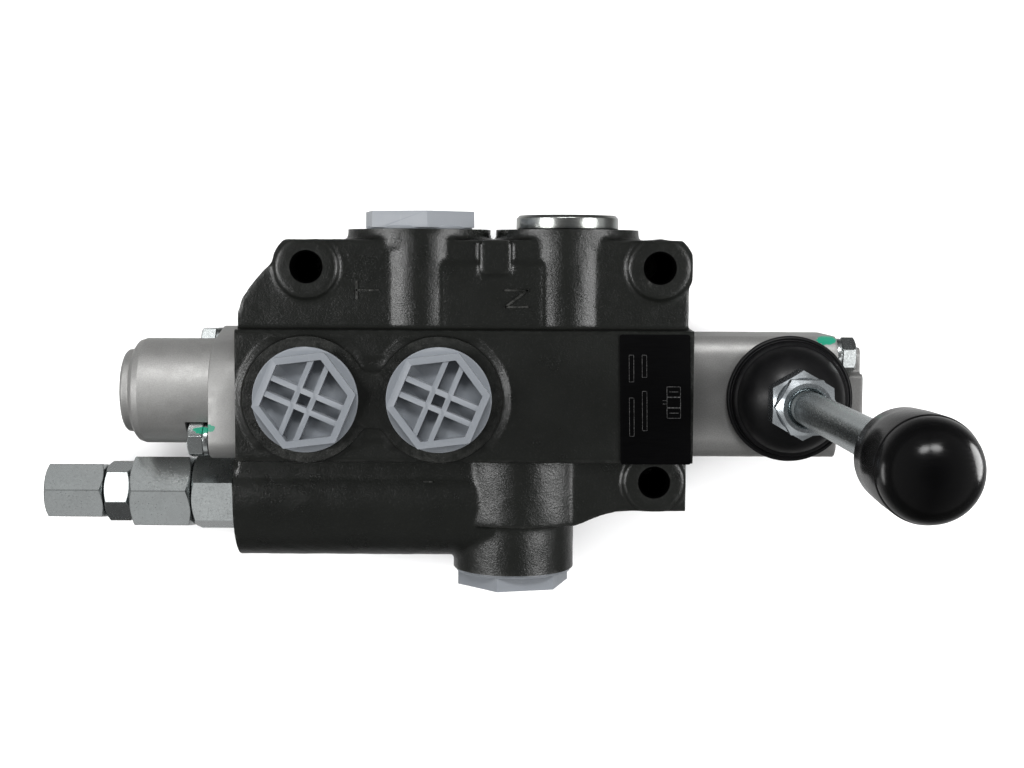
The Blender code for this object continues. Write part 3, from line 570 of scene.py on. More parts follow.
def moulded(name):
    """Grey-blue polyethylene of the transport plugs."""
    k = Look(name)
    base = k.mix(k.noise(scale=75, detail=3), (0.205, 0.222, 0.246), (0.245, 0.262, 0.284))
    scratches = k.noise(scale=520, detail=5, rough=0.75, stretch=(1.0, 0.35, 1.0))
    base = k.mix(k.ramp(scratches, {0.60: 0.0, 0.74: 0.35}), base, (0.36, 0.38, 0.40))
    rub = k.math('MULTIPLY', k.edge(low=0.52, high=0.62), 0.35)
    base = k.mix(rub, base, (0.42, 0.44, 0.47))
    rough = k.ramp(k.noise(scale=260, detail=4, rough=0.6), {0.3: 0.38, 0.7: 0.52})
    normal = k.bump(k.noise(scale=300, detail=3), strength=0.12, distance=0.00015)
    normal = k.bump(k.noise(scale=2400), strength=0.10, distance=0.00004, over=normal)
    for key, value in (("Weight", 0.15), ("Radius", (0.0012, 0.0012, 0.0014)), ("Scale", 1.0)):
        k.put(k.bsdf, "Subsurface " + key, value)
    return k.done(base, rough, normal)


def rubber(name):
    k = Look(name)
    dust = k.ramp(k.noise(scale=130, detail=5, rough=0.7), {0.5: 0.0, 0.75: 0.35})
    base = k.mix(dust, (0.0030, 0.0030, 0.0034), (0.009, 0.009, 0.010))
    rough = k.ramp(k.noise(scale=210, detail=4, rough=0.6), {0.3: 0.30, 0.7: 0.46})
    swell = k.noise(scale=700, detail=3, rough=0.6)
    normal = k.bump(swell, strength=0.12, distance=0.00008)
    normal = k.bump(k.noise(scale=3200), strength=0.12, distance=0.00003, over=normal)
    return k.done(base, rough, normal, spec=0.22)


def bakelite(name):
    k = Look(name)
    swirl = k.noise(scale=60, detail=4, rough=0.6, distort=0.8)
    base = k.mix(swirl, (0.0012, 0.0012, 0.0014), (0.0035, 0.0035, 0.0038))
    hair = k.noise(scale=900, detail=4, rough=0.7, stretch=(0.3, 1.4, 1.0))
    rough = k.ramp(hair, {0.45: 0.17, 0.75: 0.26})
    normal = k.bump(k.noise(scale=160), strength=0.06, distance=0.00020)
    return k.done(base, rough, normal, spec=0.20)


def anodised(name):
    k = Look(name)
    brush = k.noise(scale=1400, detail=3, rough=0.6, stretch=(0.12, 2.2, 1.0))
    base = k.mix(brush, (0.0010, 0.0010, 0.0011), (0.0030, 0.0030, 0.0033))
    rough = k.ramp(brush, {0.3: 0.42, 0.7: 0.58})
    return k.done(base, rough, k.bump(brush, strength=0.12, distance=0.00002), spec=0.02)


def print_grey(name):
    k = Look(name)
    patch = k.noise(scale=1900, detail=4, rough=0.7)
    base = k.mix(k.ramp(patch, {0.42: 0.0, 0.6: 1.0}), 0.015, 0.10)
    return k.done(base, rough=0.5, normal=k.bump(patch, strength=0.1, distance=0.00002))


def nylon(name):
    k = Look(name)
    base = k.mix(k.noise(scale=90, detail=3), (0.50, 0.48, 0.40), (0.60, 0.58, 0.50))
    rough = k.ramp(k.noise(scale=400, detail=3), {0.3: 0.42, 0.7: 0.55})
    swell = k.noise(scale=900, detail=3)
    return k.done(base, rough, k.bump(swell, strength=0.12, distance=0.00006))


def floor_paper(name):
    k = Look(name)
    paper = k.mix(k.noise(scale=3.0, detail=3), (0.93, 0.93, 0.935), 0.95)
    for x, y, _ in FIXINGS:
        # no light reaches the paper at the foot of the fixing holes
        mask = k.spot((x, y, BASE), size=(7.6, 7.6, 400.0), wobble=0.01)
        paper = k.mix(mask, paper, 0.0)
    normal = k.bump(k.noise(scale=300), strength=0.03, distance=0.0002)
    return k.done(paper, rough=0.75, normal=normal)


# paint marks are (centre, half sizes)
IRON = cast_iron("cast_iron_skin")
IRON_CUT = machined_iron("cast_iron_machined")
ALU_CAP = die_cast("die_cast_cap", mark=((-79.9, -10.3, 17.0), (2.2, 1.25, 6.0)),
                   shade=cap_root_painted_shade)
ALU_HOUSING = die_cast("die_cast_housing", mark=((111.9, 18.0, 17.0), (3.4, 1.7, 6.0)),
                       shade=housing_middle_painted_shade)
ZINC = zinc("zinc_plain")
ZINC_X = zinc("zinc_turned_x", lines=(3.0, 0.3, 0.3))
ZINC_Y = zinc("zinc_turned_y", lines=(0.3, 3.0, 0.3), tint=(0.42, 0.43, 0.41),
              rough=(0.20, 0.26), calm=0.1)
ZINC_ROD = zinc("zinc_rod", lines=(0.3, 0.3, 3.5), tint=(0.44, 0.49, 0.50),
                rough=(0.22, 0.30), calm=0.3)
ZINC_NUT = zinc("zinc_nut", tint=(0.56, 0.60, 0.63))
ZINC_MARK = zinc("zinc_marked", mark=((-82.3, -11.2, 16.0), (3.0, 1.2, 6.0)))
STEEL = steel("steel_ground", tone=(0.46, 0.46, 0.47), lines=(4.0, 0.2, 0.2), rough=(0.22, 0.34))
SPRING = steel("steel_spring", tone=(0.20, 0.20, 0.21), lines=(1.0, 1.0, 1.0), rough=(0.32, 0.46))
PLASTIC = moulded("plug_plastic")
RUBBER = rubber("boot_rubber")
KNOB = bakelite("knob_plastic_gloss")
PLATE = anodised("plate_anodised")
PRINT = print_grey("plate_print")
NYLON = nylon("socket_nylon")

# CAD pieces that keep their own mesh, by material
INNER = (
    (STEEL, ("spool", "spool_end_bolt", "relief_poppet", "relief_spring_button",
             "relief_adjust_screw", "load_check_poppet")),
    (RUBBER, ("spool_seal_left", "spool_seal_right", "carry_over_seal")),
    (ZINC, ("seal_retainer_left", "seal_retainer_right", "spring_seat_inner",
            "spring_seat_outer")),
    (SPRING, ("centering_spring", "relief_spring", "load_check_spring", "snap_ring")),
    (NYLON, ("ball_socket_lower", "ball_socket_upper")))
for look, names in INNER:
    for name in names:
        slots = NODES[name].data.materials
        if len(slots) == 0:
            slots.append(look)
        for i in range(len(slots)):
            slots[i] = look


# ------------------------------------------------------------------ cast body
# plan of the raised +Y half of the body at its -X corner, (x, y)
SHOULDER = [(-69, 26), (-67.8, 30.3), (-65.1, 34.4), (-61.2, 38.9), (-57.4, 42.5), (-55.4, 45.0),
            (-53.4, 47.1), (-51.0, 48.1), (-48.0, 48.4)]
# plan of the ear at the +X, -Y corner, (x, y)
EAR = [(30, -14), (30, -41.2), (34.4, -41.2), (36.5, -40.5), (39, -39.3), (43, -37.8),
       (47.5, -36.8), (52.6, -36.4), (END + STOCK, -36.4), (END + STOCK, -14)]
# plans of the waisted bridge between ports A and B, and of its lower, wider step, (x, y)
BRIDGE = [(-36, -9.5), (-31.5, -8.6), (-27.5, -8.1), (-23.5, -8.6), (-19, -9.5), (-19, 9.9),
          (-23.5, 9.2), (-27.5, 8.7), (-31.5, 9.2), (-36, 9.9)]
BRIDGE_STEP = [(-38, -15), (-32, -12.4), (-27.5, -11.6), (-23, -12.4), (-17, -15), (-17, 15.6),
               (-23, 13.0), (-27.5, 12.2), (-32, 13.0), (-38, 15.6)]


def body_solids():
    """The overlapping solids that run together into the casting."""
    low = BASE - STOCK
    far = END + STOCK
    relief_y, relief_z = RELIEF[1:]
    upper = ([(-far, 15), (-far, 24)] + SHOULDER + [(57.0, 48.4)]
             + arc(58.6, 39.5, 9.4, 88, 0, 12) + [(68.0, 15)])
    parts = [prism(rounded_rect(-19.0, 21.2, low, 33.0, 0.8), -far, far, 'X'),
             prism(upper, low, 26.5),
             # round the relief valve
             box(-68.6, 20, relief_y, -15, low, 15.2),
             box(-68.6, 18, -38.4, -15, low, relief_z - 6),
             rod(20.2, -END - 6, 8, 'X', RELIEF),
             # port P: block, hump, side block and boss
             box(0.7, 34.8, -41.4, -14, low, 1.0),
             common(rod(24.8, -41.4, -12, 'Y', (17.3, 0, -4.6), 128),
                    box(0.7, 34.2, -45, -5, -20, 30)),
             box(-71.8, -60, -33.0, -19.6, 0, 15.2),
             rod(19.5, P_FACE - STOCK, -24, 'Y', PORT_P),
             prism(EAR, low, 14.5)]
    for port in (PORT_T, PORT_N):
        boss = [(38.0, 19.0), (41.5, 20.6), (45.0, 22.0), (46.5, 22.4), (T_FACE + STOCK, 22.4)]
        parts.append(turned(boss, 'Y', port, 128))
    # arched ridges over ports T and N
    half = 9.7
    for x in (-14.0, 31.3):
        crown = [(24.6 + 4.1 * (1 - (k / 16) ** 2) ** 0.62, x + half * k / 16)
                 for k in range(-16, 17)]
        parts.append(prism([(10.0, x - half)] + crown + [(10.0, x + half)], 18.0, 50.6, 'Y'))
    parts.append(box(-6.6, 23.3, 18, 41.2, 0, 27.6))
    parts.append(prism(rounded_rect(4.6, 13.9, 38.0, 48.4, 1.4), 0, 28.6))
    for x, y, top in FIXINGS:
        pad = [(0, 10.9), (top - 0.3, 10.9), (top + 0.3, 9.9), (top + 1.6, 9.45)]
        parts.append(common(turned(pad, 'Z', (x, y, 0)),
                            box(-68.9, 70.5, -36.3, 48.35, -5, 40)))
    for x in (PORT_A_X, PORT_B_X):
        at = (x, PORT_AB_Y, 0)
        parts.append(rod(18.95, 10, AB_FACE + 1.6, 'Z', at, 128))
        parts.append(common(rod(20.7, 10, 33.8, 'Z', at, 128),
                            box(x - 25, x + 25, -14.0, 18.0, 5, 40)))
    return parts + [prism(BRIDGE, 20, AB_FACE), prism(BRIDGE_STEP, 20, 33.7)]


def body_facing():
    """Blocks that take the machined faces down to size."""
    tools = [box(-90, -END, -20.8, 60, -60, 60), box(-90, RELIEF_FACE, -70, -20, -60, 60),
             box(END, 90, -70, 70, -60, 60), box(-90, 90, -90, 90, -60, BASE),
             box(-90, 90, T_FACE, 80, -60, 60), box(-90, 90, -90, P_FACE, -60, 60)]
    return tools + [rod(21.5, AB_FACE, 44, 'Z', (x, PORT_AB_Y, 0)) for x in (PORT_A_X, PORT_B_X)]


def body_holes():
    bore = 9.05
    spool = [(-72, 12.0), (-65, 12.0), (-65, bore)]
    for start, end in GROOVES:
        spool += [(start, bore), (start, 13.5), (end, 13.5), (end, bore)]
    spool += [(65, bore), (65, 12.0), (72, 12.0)]
    holes = [turned(spool, 'X', seg=64)]
    for x in (PORT_A_X, PORT_B_X):
        holes.append(turned([(10.5, 3.9), (19, 6.0), (19, 10.3), (34, 10.3), (AB_FACE, 11.5),
                             (37, 11.5)], 'Z', (x, PORT_AB_Y, 0), 64))
    for port in (PORT_T, PORT_N):
        holes.append(turned([(21, 7.5), (34.6, 7.5), (34.6, 12.25), (50.0, 12.25),
                             (T_FACE, 14.25), (54, 14.25)], 'Y', port, 64))
    # long channel at the height of ports T and N, and its links to the spool bore
    z = PORT_T[2]
    holes.append(rod(6.5, -62, 7, 'X', (0, 26.0, z), 40))
    for start, end in (GROOVES[0], GROOVES[4]):
        holes.append(box(start + 0.4, end - 0.4, 10.5, 27, z - 5, z + 4))
    holes.append(box(29.4, 35.2, 10.5, 24, z - 5, z + 4))
    holes.append(turned([(-29, 7.6), (-40.3, 7.6), (-40.3, 12.25), (-55.7, 12.25),
                         (P_FACE, 14.25), (-60, 14.25)], 'Y', PORT_P, 64))
    holes.append(turned([(-78, 10.2), (-48, 10.2), (-48, 7.8), (-42, 7.8), (-42, 6.2),
                         (15, 6.2)], 'X', RELIEF, 64))
    holes.append(box(17.9, 23.1, -34, -10.5, -9, 3))
    holes.append(box(-61.6, -56.4, -26, -10.5, -7, 0))
    holes.append(turned([(-36, 9.6), (-32.2, 8.4), (-24, 8.4), (-24, 7.4), (-14, 7.4),
                         (-14, 4.5), (-4, 4.5)], 'Z', CHECK, 64))
    holes.append(rod(4.8, -20.0, -2.0, 'Y', (CHECK[0], 0, -16.5), 32))
    for x, y, cast_top in FIXINGS:
        top = cast_top + 1.5
        holes.append(turned([(-36, 5.4), (-32.5, 4.5), (top - 0.55, 4.5), (top + 0.1, 5.1),
                             (top + 4, 5.3)], 'Z', (x, y, 0), 64))
    for screws, start, end in ((CAP_SCREWS, -70, -57.0), (HOUSING_SCREWS, 57.0, 70)):
        holes += [rod(3.1, start, end, 'X', (0, *screw), 32) for screw in screws]
    return holes


def letter(strokes, at, z, size):
    """Raised port mark of straight strokes on a unit square, reading towards +Y."""
    width = 0.8
    out = []
    for stroke in strokes:
        p = [Vector(((x - 0.5) * size[0], (y - 0.5) * size[1])) for x, y in stroke]
        p = [Vector((at[0] - q.y, q.x + at[1])) for q in p]
        d = (p[1] - p[0]).normalized()
        n = Vector((-d.y, d.x))
        points = []
        # height, half width and overhang of foot and crest; the last two in stroke widths
        for level, half, over in ((z - 0.8, 0.78, 0.62), (z + 0.55, 0.36, 0.30)):
            a, b = p[0] - d * width * over, p[1] + d * width * over
            side = n * (width * half)
            points += [(q.x, q.y, level) for q in (a - side, b - side, b + side, a + side)]
        out.append(solid(points, lids(4, 2) + walls(4, 2)))
    return out


def port_letters():
    stem = ((0, 0), (0, 1))
    t = (((0.5, 0), (0.5, 1)), ((0, 1), (1, 1)))
    n = (stem, ((0, 1), (1, 0)), ((1, 0), (1, 1)))
    p = (stem, ((0, 1), (0.85, 1)), ((0.85, 1), (0.85, 0.45)), ((0.85, 0.45), (0, 0.45)))
    return (letter(t, (-29.6, 33.0), 26.45, (5.2, 6.6))
            + letter(n, (15.6, 30.6), 27.65, (5.0, 6.6))
            + letter(p, (-10.4, -28.8), 15.15, (4.6, 6.4)))


def tag_machined(body):
    """Second material on faces that lie in a machined plane."""
    planes = ((0, -END), (0, RELIEF_FACE), (0, END), (2, BASE), (1, T_FACE), (1, P_FACE))
    bm = bmesh.new()
    bm.from_mesh(body.data)
    for f in bm.faces:
        c, n = f.calc_center_median(), f.normal
        f.material_index = int(any(abs(c[a] - v) < 0.02 and abs(n[a]) > 0.99
                                   for a, v in planes))
    bm.to_mesh(body.data)
    bm.free()


def cast_body():
    voxel, rounds, keep = ((0.66, 7, 0.42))
    body = casting(body_solids(), voxel, rounds, keep, uneven=0.10, scale=0.16)
    cut_in_turn(body, body_facing())
    cut_in_turn(body, body_holes())
    body = join([body] + port_letters())
    tag_machined(body)
    finish("body_casting", body, "valve_body", [IRON, IRON_CUT], 32)


cast_body()


# ---------------------------------------------------------------- hexagon parts
def hex_bar(across_flats, start, end, axis, at, twist, ends=(True, True), drop=0.97, slope=30):
    """Hexagon bar whose corners are turned off in a cone at the chosen ends."""
    top = across_flats / math.sqrt(3) * 1.03
    r = across_flats / 2 * drop
    h = (top - r) * math.tan(math.radians(slope))
    profile = [(start, r), (start + h, top)] if ends[0] else [(start, top)]
    profile += [(end - h, top), (end, r)] if ends[1] else [(end, top)]
    bar = prism(hexagon(across_flats, twist), start - 0.01, end + 0.01, axis, at)
    return common(bar, turned(profile, axis, at))


def faceted(name, ob, node, look, body="valve"):
    return finish(name, ob, node, [look], smooth=12, even=True, body=body)


def relief_cartridge():
    thread = turned([(-79, 9.9), (-61.5, 9.9), (-60.5, 9.0), (-60.5, 7.45), (-43.0, 7.45),
                     (-42.4, 6.9)], 'X', RELIEF, 64, edge=0.2)
    ob = fuse(hex_bar(22.0, -88.0, -74.6, 'X', RELIEF, 70.0, (True, False)), thread)
    bore = turned([(-90, 7.6), (-80, 7.6), (-80, 5.65), (-47.4, 5.65), (-46.6, 3.5), (-40, 3.5)],
                  'X', RELIEF, 64)
    cross = (-50.4, *RELIEF[1:])
    ob = cut(ob, bore, rod(1.8, -9, 9, 'Z', cross, 24), rod(1.8, -9, 9, 'Y', cross, 24))
    faceted("relief_cartridge_hex", bevel(ob, 0.16), "relief_cartridge", ZINC_X)


def relief_seal():
    ring = soft([(-74.4, 10.35), (-74.4, 12.6), (-73.1, 12.6), (-73.1, 10.35)], 0.4)
    finish("relief_seal", lathe(ring, 'X', RELIEF), "relief_seal_ring", [RUBBER])


def relief_bonnet():
    neck = turned([(-90, 7.35), (-81.0, 7.35), (-80.4, 6.8)], 'X', RELIEF, 64)
    ob = fuse(hex_bar(22.0, -107.8, -88.25, 'X', RELIEF, 82.0), neck)
    ob = cut(ob, turned([(-79, 5.75), (-91.5, 5.75), (-91.5, 5.25), (-110, 5.25)],
                        'X', RELIEF, 64))
    faceted("relief_bonnet_hex", bevel(ob, 0.16), "relief_bonnet", ZINC_X)


def relief_nut(name, node, start, end, twist, bore):
    ob = cut(hex_bar(17.0, start, end, 'X', RELIEF, twist), turned(bore, 'X', RELIEF, 64))
    faceted(name, bevel(ob, 0.16), node, ZINC)


relief_cartridge()
relief_seal()
relief_bonnet()
relief_nut("relief_lock_nut", "relief_jam_nut", -116.5, -108.1, 44.0,
           bore=[(-118, 5.25), (-106, 5.25)])
relief_nut("relief_end_nut", "relief_cap_nut", -135.7, -116.8, 81.0,
           bore=[(-114, 5.3), (-132.4, 5.3), (-133.2, 4.2)])


# -------------------------------------------------------------- screws, washers
def screw(name, node, yz, seat, crown, tip, look, twist):
    """Hexagon-head M6 screw along X with a rolled thread; the head runs from seat to crown."""
    s = 1 if tip > seat else -1
    at = (0, *yz)
    lo, hi = sorted((seat, crown))
    head = hex_bar(10.0, lo, hi, 'X', at, twist, (crown < seat, crown > seat), drop=0.95)
    head = bevel(head, 0.14)
    r, root, pitch, plain = 2.9, 2.45, 1.0, 14
    profile = [(seat - 0.4 * s, r)]
    for k in range(int(abs(tip - seat) / pitch)):
        a = seat + s + k * s
        if abs(a - seat) < plain:
            continue
        if abs(tip - a) < 1.2:
            break
        profile += [(a, r), (a + 0.5 * s, root), (a + 0.98 * s, r)]
    profile += [(tip - 0.8 * s, r), (tip, 2.2)]
    faceted(name, join([head, turned(profile, 'X', at, 32)]), node, look)


def washer(name, node, yz, x0, x1, look):
    """Split spring washer."""
    at = (0, *yz)
    ring = lathe(soft([(x0, 3.15), (x0, 5.2), (x1, 5.2), (x1, 3.15)], 0.2), 'X', at, 64)
    gap = prism([(2.0, -0.5), (6.5, -0.2), (6.5, 0.6), (2.0, 0.3)], x0 - 1, x1 + 1, 'X', at)
    finish(name, cut(ring, gap), node, [look], 32)


# group, screw places, washer ends, head seat and crown, tip, then look and twist per screw
for group, places, washer_x, head_x, tip_x, kinds in (
        ("cap", CAP_SCREWS, (-82.1, -80.6), (-82.3, -87.0), -58.2,
         ((ZINC_MARK, 14.0), (ZINC, 30.0))),
        ("housing", HOUSING_SCREWS, (115.45, 116.95), (117.15, 121.4), 58.2,
         ((ZINC, 10.0), (ZINC, 12.0)))):
    for i, (yz, (look, twist)) in enumerate(zip(places, kinds), 1):
        washer(f"{group}_washer_{i}", f"{group}_spring_washer_{i}", yz, *washer_x, look)
        screw(f"{group}_hex_screw_{i}", f"{group}_screw_{i}", yz, *head_x, tip_x, look, twist)


# ------------------------------------------------------------- die cast parts
def cap_outline(inset):
    """(y, z) of a round middle drawn out to two small round ears at the cap screws."""
    r_mid, r_end = 17.4 - inset, 5.8 - inset
    cy, cz = CAP_SCREWS[0]
    base = math.degrees(math.atan2(cz, cy))
    phi = math.degrees(math.acos((r_mid - r_end) / math.hypot(cy, cz)))
    points = []
    for side, centre in zip((0, 180), CAP_SCREWS):
        b = base + side
        points += arc(*centre, r_end, b - phi, b + phi, 16)
        points += arc(0, 0, r_mid, b + phi, b + 180 - phi, 24)[1:-1]
    return points


def spring_cap_shell():
    # x and inset of the flange outline, with its rounded outer edge
    layers = [(-END - 0.3, 0.0), (-79.75, 0.0), (-80.12, 0.18), (-80.3, 0.5)]
    points = [(x, y, z) for x, inset in layers for y, z in cap_outline(inset)]
    n = len(points) // len(layers)
    flange = solid(points, walls(n, len(layers)) + lids(n, len(layers)))
    dome = [(-75, 0), (-75, 16.8), (-102.6, 16.8), (-104.6, 16.1), (-105.7, 14.6),
            (-106.0, 13.3), (-108.2, 13.2), (-109.0, 12.4), (-109.0, 0)]
    ob = fuse(flange, lathe(soft(dome, 0.9, 4), 'X', seg=160))
    holes = [turned([(-68, 13.0), (-71.5, 13.0), (-71.5, 11.2), (-91.3, 11.2), (-91.3, 8.2),
                     (-103.6, 8.2), (-104.6, 7.2)], 'X', seg=64)]
    for yz in CAP_SCREWS:
        holes.append(rod(3.3, -82, -68, 'X', (0, *yz), 32))
        holes.append(rod(6.15, -88.1, -80.3, 'X', (0, *yz), 64))
    cut_in_turn(ob, holes, 'EXACT')
    finish("spring_cap_shell", ob, "spring_cap", [ALU_CAP], 28)


# stepped boss on the +X face of the lever housing, (y, z)
HOUSING_BOSS = [(-6.9, -15.0), (12.0, -15.0), (14.2, -14.1), (15.0, -12.0), (15.0, 4.7),
                (13.8, 5.9), (6.9, 5.9), (6.9, 9.6), (6.0, 10.5), (-9.6, 10.5), (-11.3, 9.8),
                (-12.0, 8.0), (-12.0, -5.9), (-6.9, -5.9)]


def housing_shell():
    inner = HOUSING_START - 1.5
    parts = [prism(rounded_rect(-19.0, 19.0, -19.0, 19.0, 6.0, 12), inner, 115.2, 'X'),
             prism(HOUSING_BOSS, 113.2, 125.0, 'X'),
             turned([(0, 17.3), (21.2, 17.3), (21.2, 15.3), (25.6, 15.3)], 'Z', LEVER, 128),
             prism(rounded_rect(-19.2, -16.2, -17.5, -9.6, 0.6, 3), inner, 115.0, 'X')]
    voxel = 0.45
    ob = casting(parts, voxel, rounds=3, keep=0.5, uneven=0.025, scale=0.25)
    holes = [box(60, HOUSING_START, -40, 40, -40, 40), rod(13.5, 68, 112.8, 'X', seg=64),
             box(111, 119.6, -8.2, 8.2, -4.7, 4.7),
             turned([(0, 8.5), (15.5, 8.5), (15.5, 12.8), (24.1, 12.8), (24.1, 13.7),
                     (25.3, 13.7), (25.3, 12.8), (27, 12.8)], 'Z', LEVER, 64)]
    for yz in HOUSING_SCREWS:
        holes.append(rod(3.1, 68, 118, 'X', (0, *yz), 32))
        holes.append(rod(6.4, 115.2, 130, 'X', (0, *yz), 64))
    cut_in_turn(ob, holes)
    finish("lever_housing_shell", ob, "lever_housing", [ALU_HOUSING], 34)


spring_cap_shell()
housing_shell()

# ------------------------------------------------------------------ the lever
ROD_R = 5.0
ROD_HOLE_R = ROD_R + 0.2


def lever_stud():
    """Small lower ball, swivel ball and neck, with a hexagon on top."""
    tip, ball_z, ball_r = 4.0, 20.5, 8.0
    profile = [(-tip, 0)]
    for deg in range(12, 137, 12):
        a = math.radians(deg)
        profile.append((-tip * math.cos(a), tip * math.sin(a)))
    profile += [(6.0, 2.9), (9.5, 3.6)]
    for k in range(17):
        a = math.radians(-60.0 + k * 116.0 / 16)
        profile.append((ball_z + ball_r * math.sin(a), ball_r * math.cos(a)))
    profile += [(28.6, 4.47), (29.6, 5.9), (35.4, 5.9), (35.4, 0)]
    stud = lathe(profile, 'Z', LEVER, 64)
    head = hex_bar(18.0, 35.0, 45.6, 'Z', LEVER, 30.0, drop=0.93, slope=38)
    head = cut(head, turned([(37.0, ROD_HOLE_R), (44.9, ROD_HOLE_R), (45.7, 6.0), (47, 6.0)],
                            'Z', LEVER, 64))
    faceted("lever_stud_hex", join([stud, bevel(head, 0.18)]), "lever_ball_stud", ZINC_NUT,
            "lever")


def lever_nut():
    nut = hex_bar(16.0, 45.9, 51.9, 'Z', LEVER, 0.0, drop=0.90, slope=36)
    nut = cut(nut, turned([(45, ROD_HOLE_R), (50.9, ROD_HOLE_R), (52.1, 6.3), (53, 6.3)],
                          'Z', LEVER, 64))
    faceted("lever_lock_nut", bevel(nut, 0.16), "lever_jam_nut", ZINC_NUT, "lever")


def lever_bar():
    profile = [(37.3, 4.4), (38.0, ROD_R)]
    for k in range(10):
        z = 44.0 + 1.25 * k
        profile += [(z, ROD_R), (z + 0.62, 4.5), (z + 1.22, ROD_R)]
    profile += [(57.0, ROD_R), (176.4, ROD_R), (177.0, 4.4)]
    finish("lever_bar", turned(profile, 'Z', LEVER, 64), "lever_rod", [ZINC_ROD],
           32, body="lever")


def lever_grip():
    low, high, hole = 162.0, 194.5, 5.3
    rim = low + 22.1    # where the domed end begins
    profile = [(low, hole), (low, 9.8), (low + 0.3, 10.6), (low + 1.2, 11.05), (low + 10, 11.4),
               (low + 21.4, 11.6), (low + 21.9, 11.5), (rim, 11.3)]
    for k in range(1, 14):
        a = k / 14 * math.pi / 2
        profile.append((rim + (high - low - 22.1) * math.sin(a), 11.3 * math.cos(a)))
    profile += [(high, 0), (178.0, 0), (178.0, hole)]
    finish("lever_grip", lathe(profile, 'Z', LEVER, 128), "lever_knob", [KNOB],
           body="lever")


def lever_boot():
    """Rubber boot: sealing lip, bead, shoulder and soft dome."""
    outer = [(19.45, 17.6), (19.45, 19.4), (21.2, 19.4), (21.7, 18.7), (21.3, 18.1),
             (22.0, 17.7), (23.8, 17.5), (24.3, 16.9), (24.6, 16.5), (25.8, 16.2), (27.6, 15.5),
             (29.4, 14.4), (31.0, 13.1), (32.6, 11.4), (33.8, 9.4), (34.6, 7.8), (34.9, 6.2)]
    inner = [(33.2, 6.2), (32.7, 9.6), (31.0, 12.2), (27.0, 13.6), (25.9, 15.55),
             (21.5, 15.55), (21.5, 17.6)]
    boot = lathe(soft(outer + inner, 0.5, 4), 'Z', LEVER, 128)
    finish("lever_boot_skin", boot, "lever_boot", [RUBBER], 40, body=None)
    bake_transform(boot)


lever_stud()
lever_nut()
lever_bar()
lever_grip()
lever_boot()


# ---------------------------------------------------------------- port plugs
def plastic_plug(name, across_flats, flange_r, thread_r, depth, axis, at, sign, twist,
                 flange_t, high):
    """Hollow hexagon plug: disc, hexagon rim, crossed ribs and a thread shank."""
    s = sign
    disc = turned([(0.05 * s, flange_r), (flange_t * s, flange_r)], axis, at, 128, edge=0.35)
    shank = [(0.6 * s, thread_r - 0.1)]
    k = 1
    while 2.0 * k + 2.0 < depth:
        shank += [(-(2.0 * k - 1.0) * s, thread_r - 0.7), (-(2.0 * k - 0.2) * s, thread_r),
                  (-(2.0 * k + 0.2) * s, thread_r)]
        k += 1
    shank.append((-depth * s, thread_r - 0.9))
    rim = prism(soft_flat(hexagon(across_flats, twist), 0.5), *sorted((0.6 * s, high * s)),
                axis, at)
    body = fuse(disc, rim, turned(shank, axis, at, 64))
    hollow = prism(soft_flat(hexagon(across_flats - 4.0, twist), 0.4),
                   *sorted((0.4 * s, (high + 1) * s)), axis, at)
    ribs = []
    reach = across_flats
    span = sorted(((high - 0.35) * s, (-depth - 1) * s))
    for angle in (twist - 30, twist + 60):
        ca, sa = math.cos(math.radians(angle)), math.sin(math.radians(angle))
        for off in (-2.55, 2.55):
            q = [(-reach, off - 0.8), (reach, off - 0.8), (reach, off + 0.8),
                 (-reach, off + 0.8)]
            q = [(u * ca - v * sa, u * sa + v * ca) for u, v in q]
            ribs.append(prism(q, *span, axis, at))
    ob = bevel(cut(body, cut(hollow, *ribs)), 0.16, 40)
    finish("plug_" + name, ob, "port_plug_" + name, [PLASTIC], 12, True)


# port, across flats, flange and thread radii, depth, axis, place, outward sign, twist,
# flange thickness, rim height
for row in (
        ("a", 27.0, 15.85, 10.1, 12.0, 'Z', (PORT_A_X, PORT_AB_Y, AB_FACE), 1, 6.9, 1.5, 5.0),
        ("b", 27.0, 15.85, 10.1, 12.0, 'Z', (PORT_B_X, PORT_AB_Y, AB_FACE), 1, 6.9, 1.5, 5.0),
        ("t", 32.0, 16.6, 12.0, 13.0, 'Y', (PORT_T[0], T_FACE, PORT_T[2]), 1, 11.0, 1.2, 5.6),
        ("p", 32.0, 18.6, 12.0, 13.0, 'Y', (PORT_P[0], P_FACE, PORT_P[2]), -1, -16.0, 1.2, 5.5)):
    plastic_plug(*row)


def carry_over_plug():
    ob = turned([(38.5, 11.4), (39.1, 12.0), (51.9, 12.0), (51.9, 16.0), (55.3, 16.0),
                 (56.2, 15.1)], 'Y', PORT_N, 128, edge=0.25)
    ob = cut(ob, prism(hexagon(12.0, 15.0), 48.0, 58.0, 'Y', PORT_N),
             turned([(55.3, 6.4), (56.4, 7.5), (58, 7.5)], 'Y', PORT_N))
    finish("plug_n", ob, "carry_over_plug", [ZINC_Y], 32)


def check_plug():
    ob = turned([(-24.3, 7.9), (-24.8, 8.2), (-31.4, 8.2), (-31.9, 7.7)], 'Z', CHECK, edge=0.2)
    ob = cut(ob, prism(hexagon(8.0), -34, -27.5, 'Z', CHECK))
    finish("check_plug", ob, "load_check_plug", [ZINC], 32)


carry_over_plug()
check_plug()


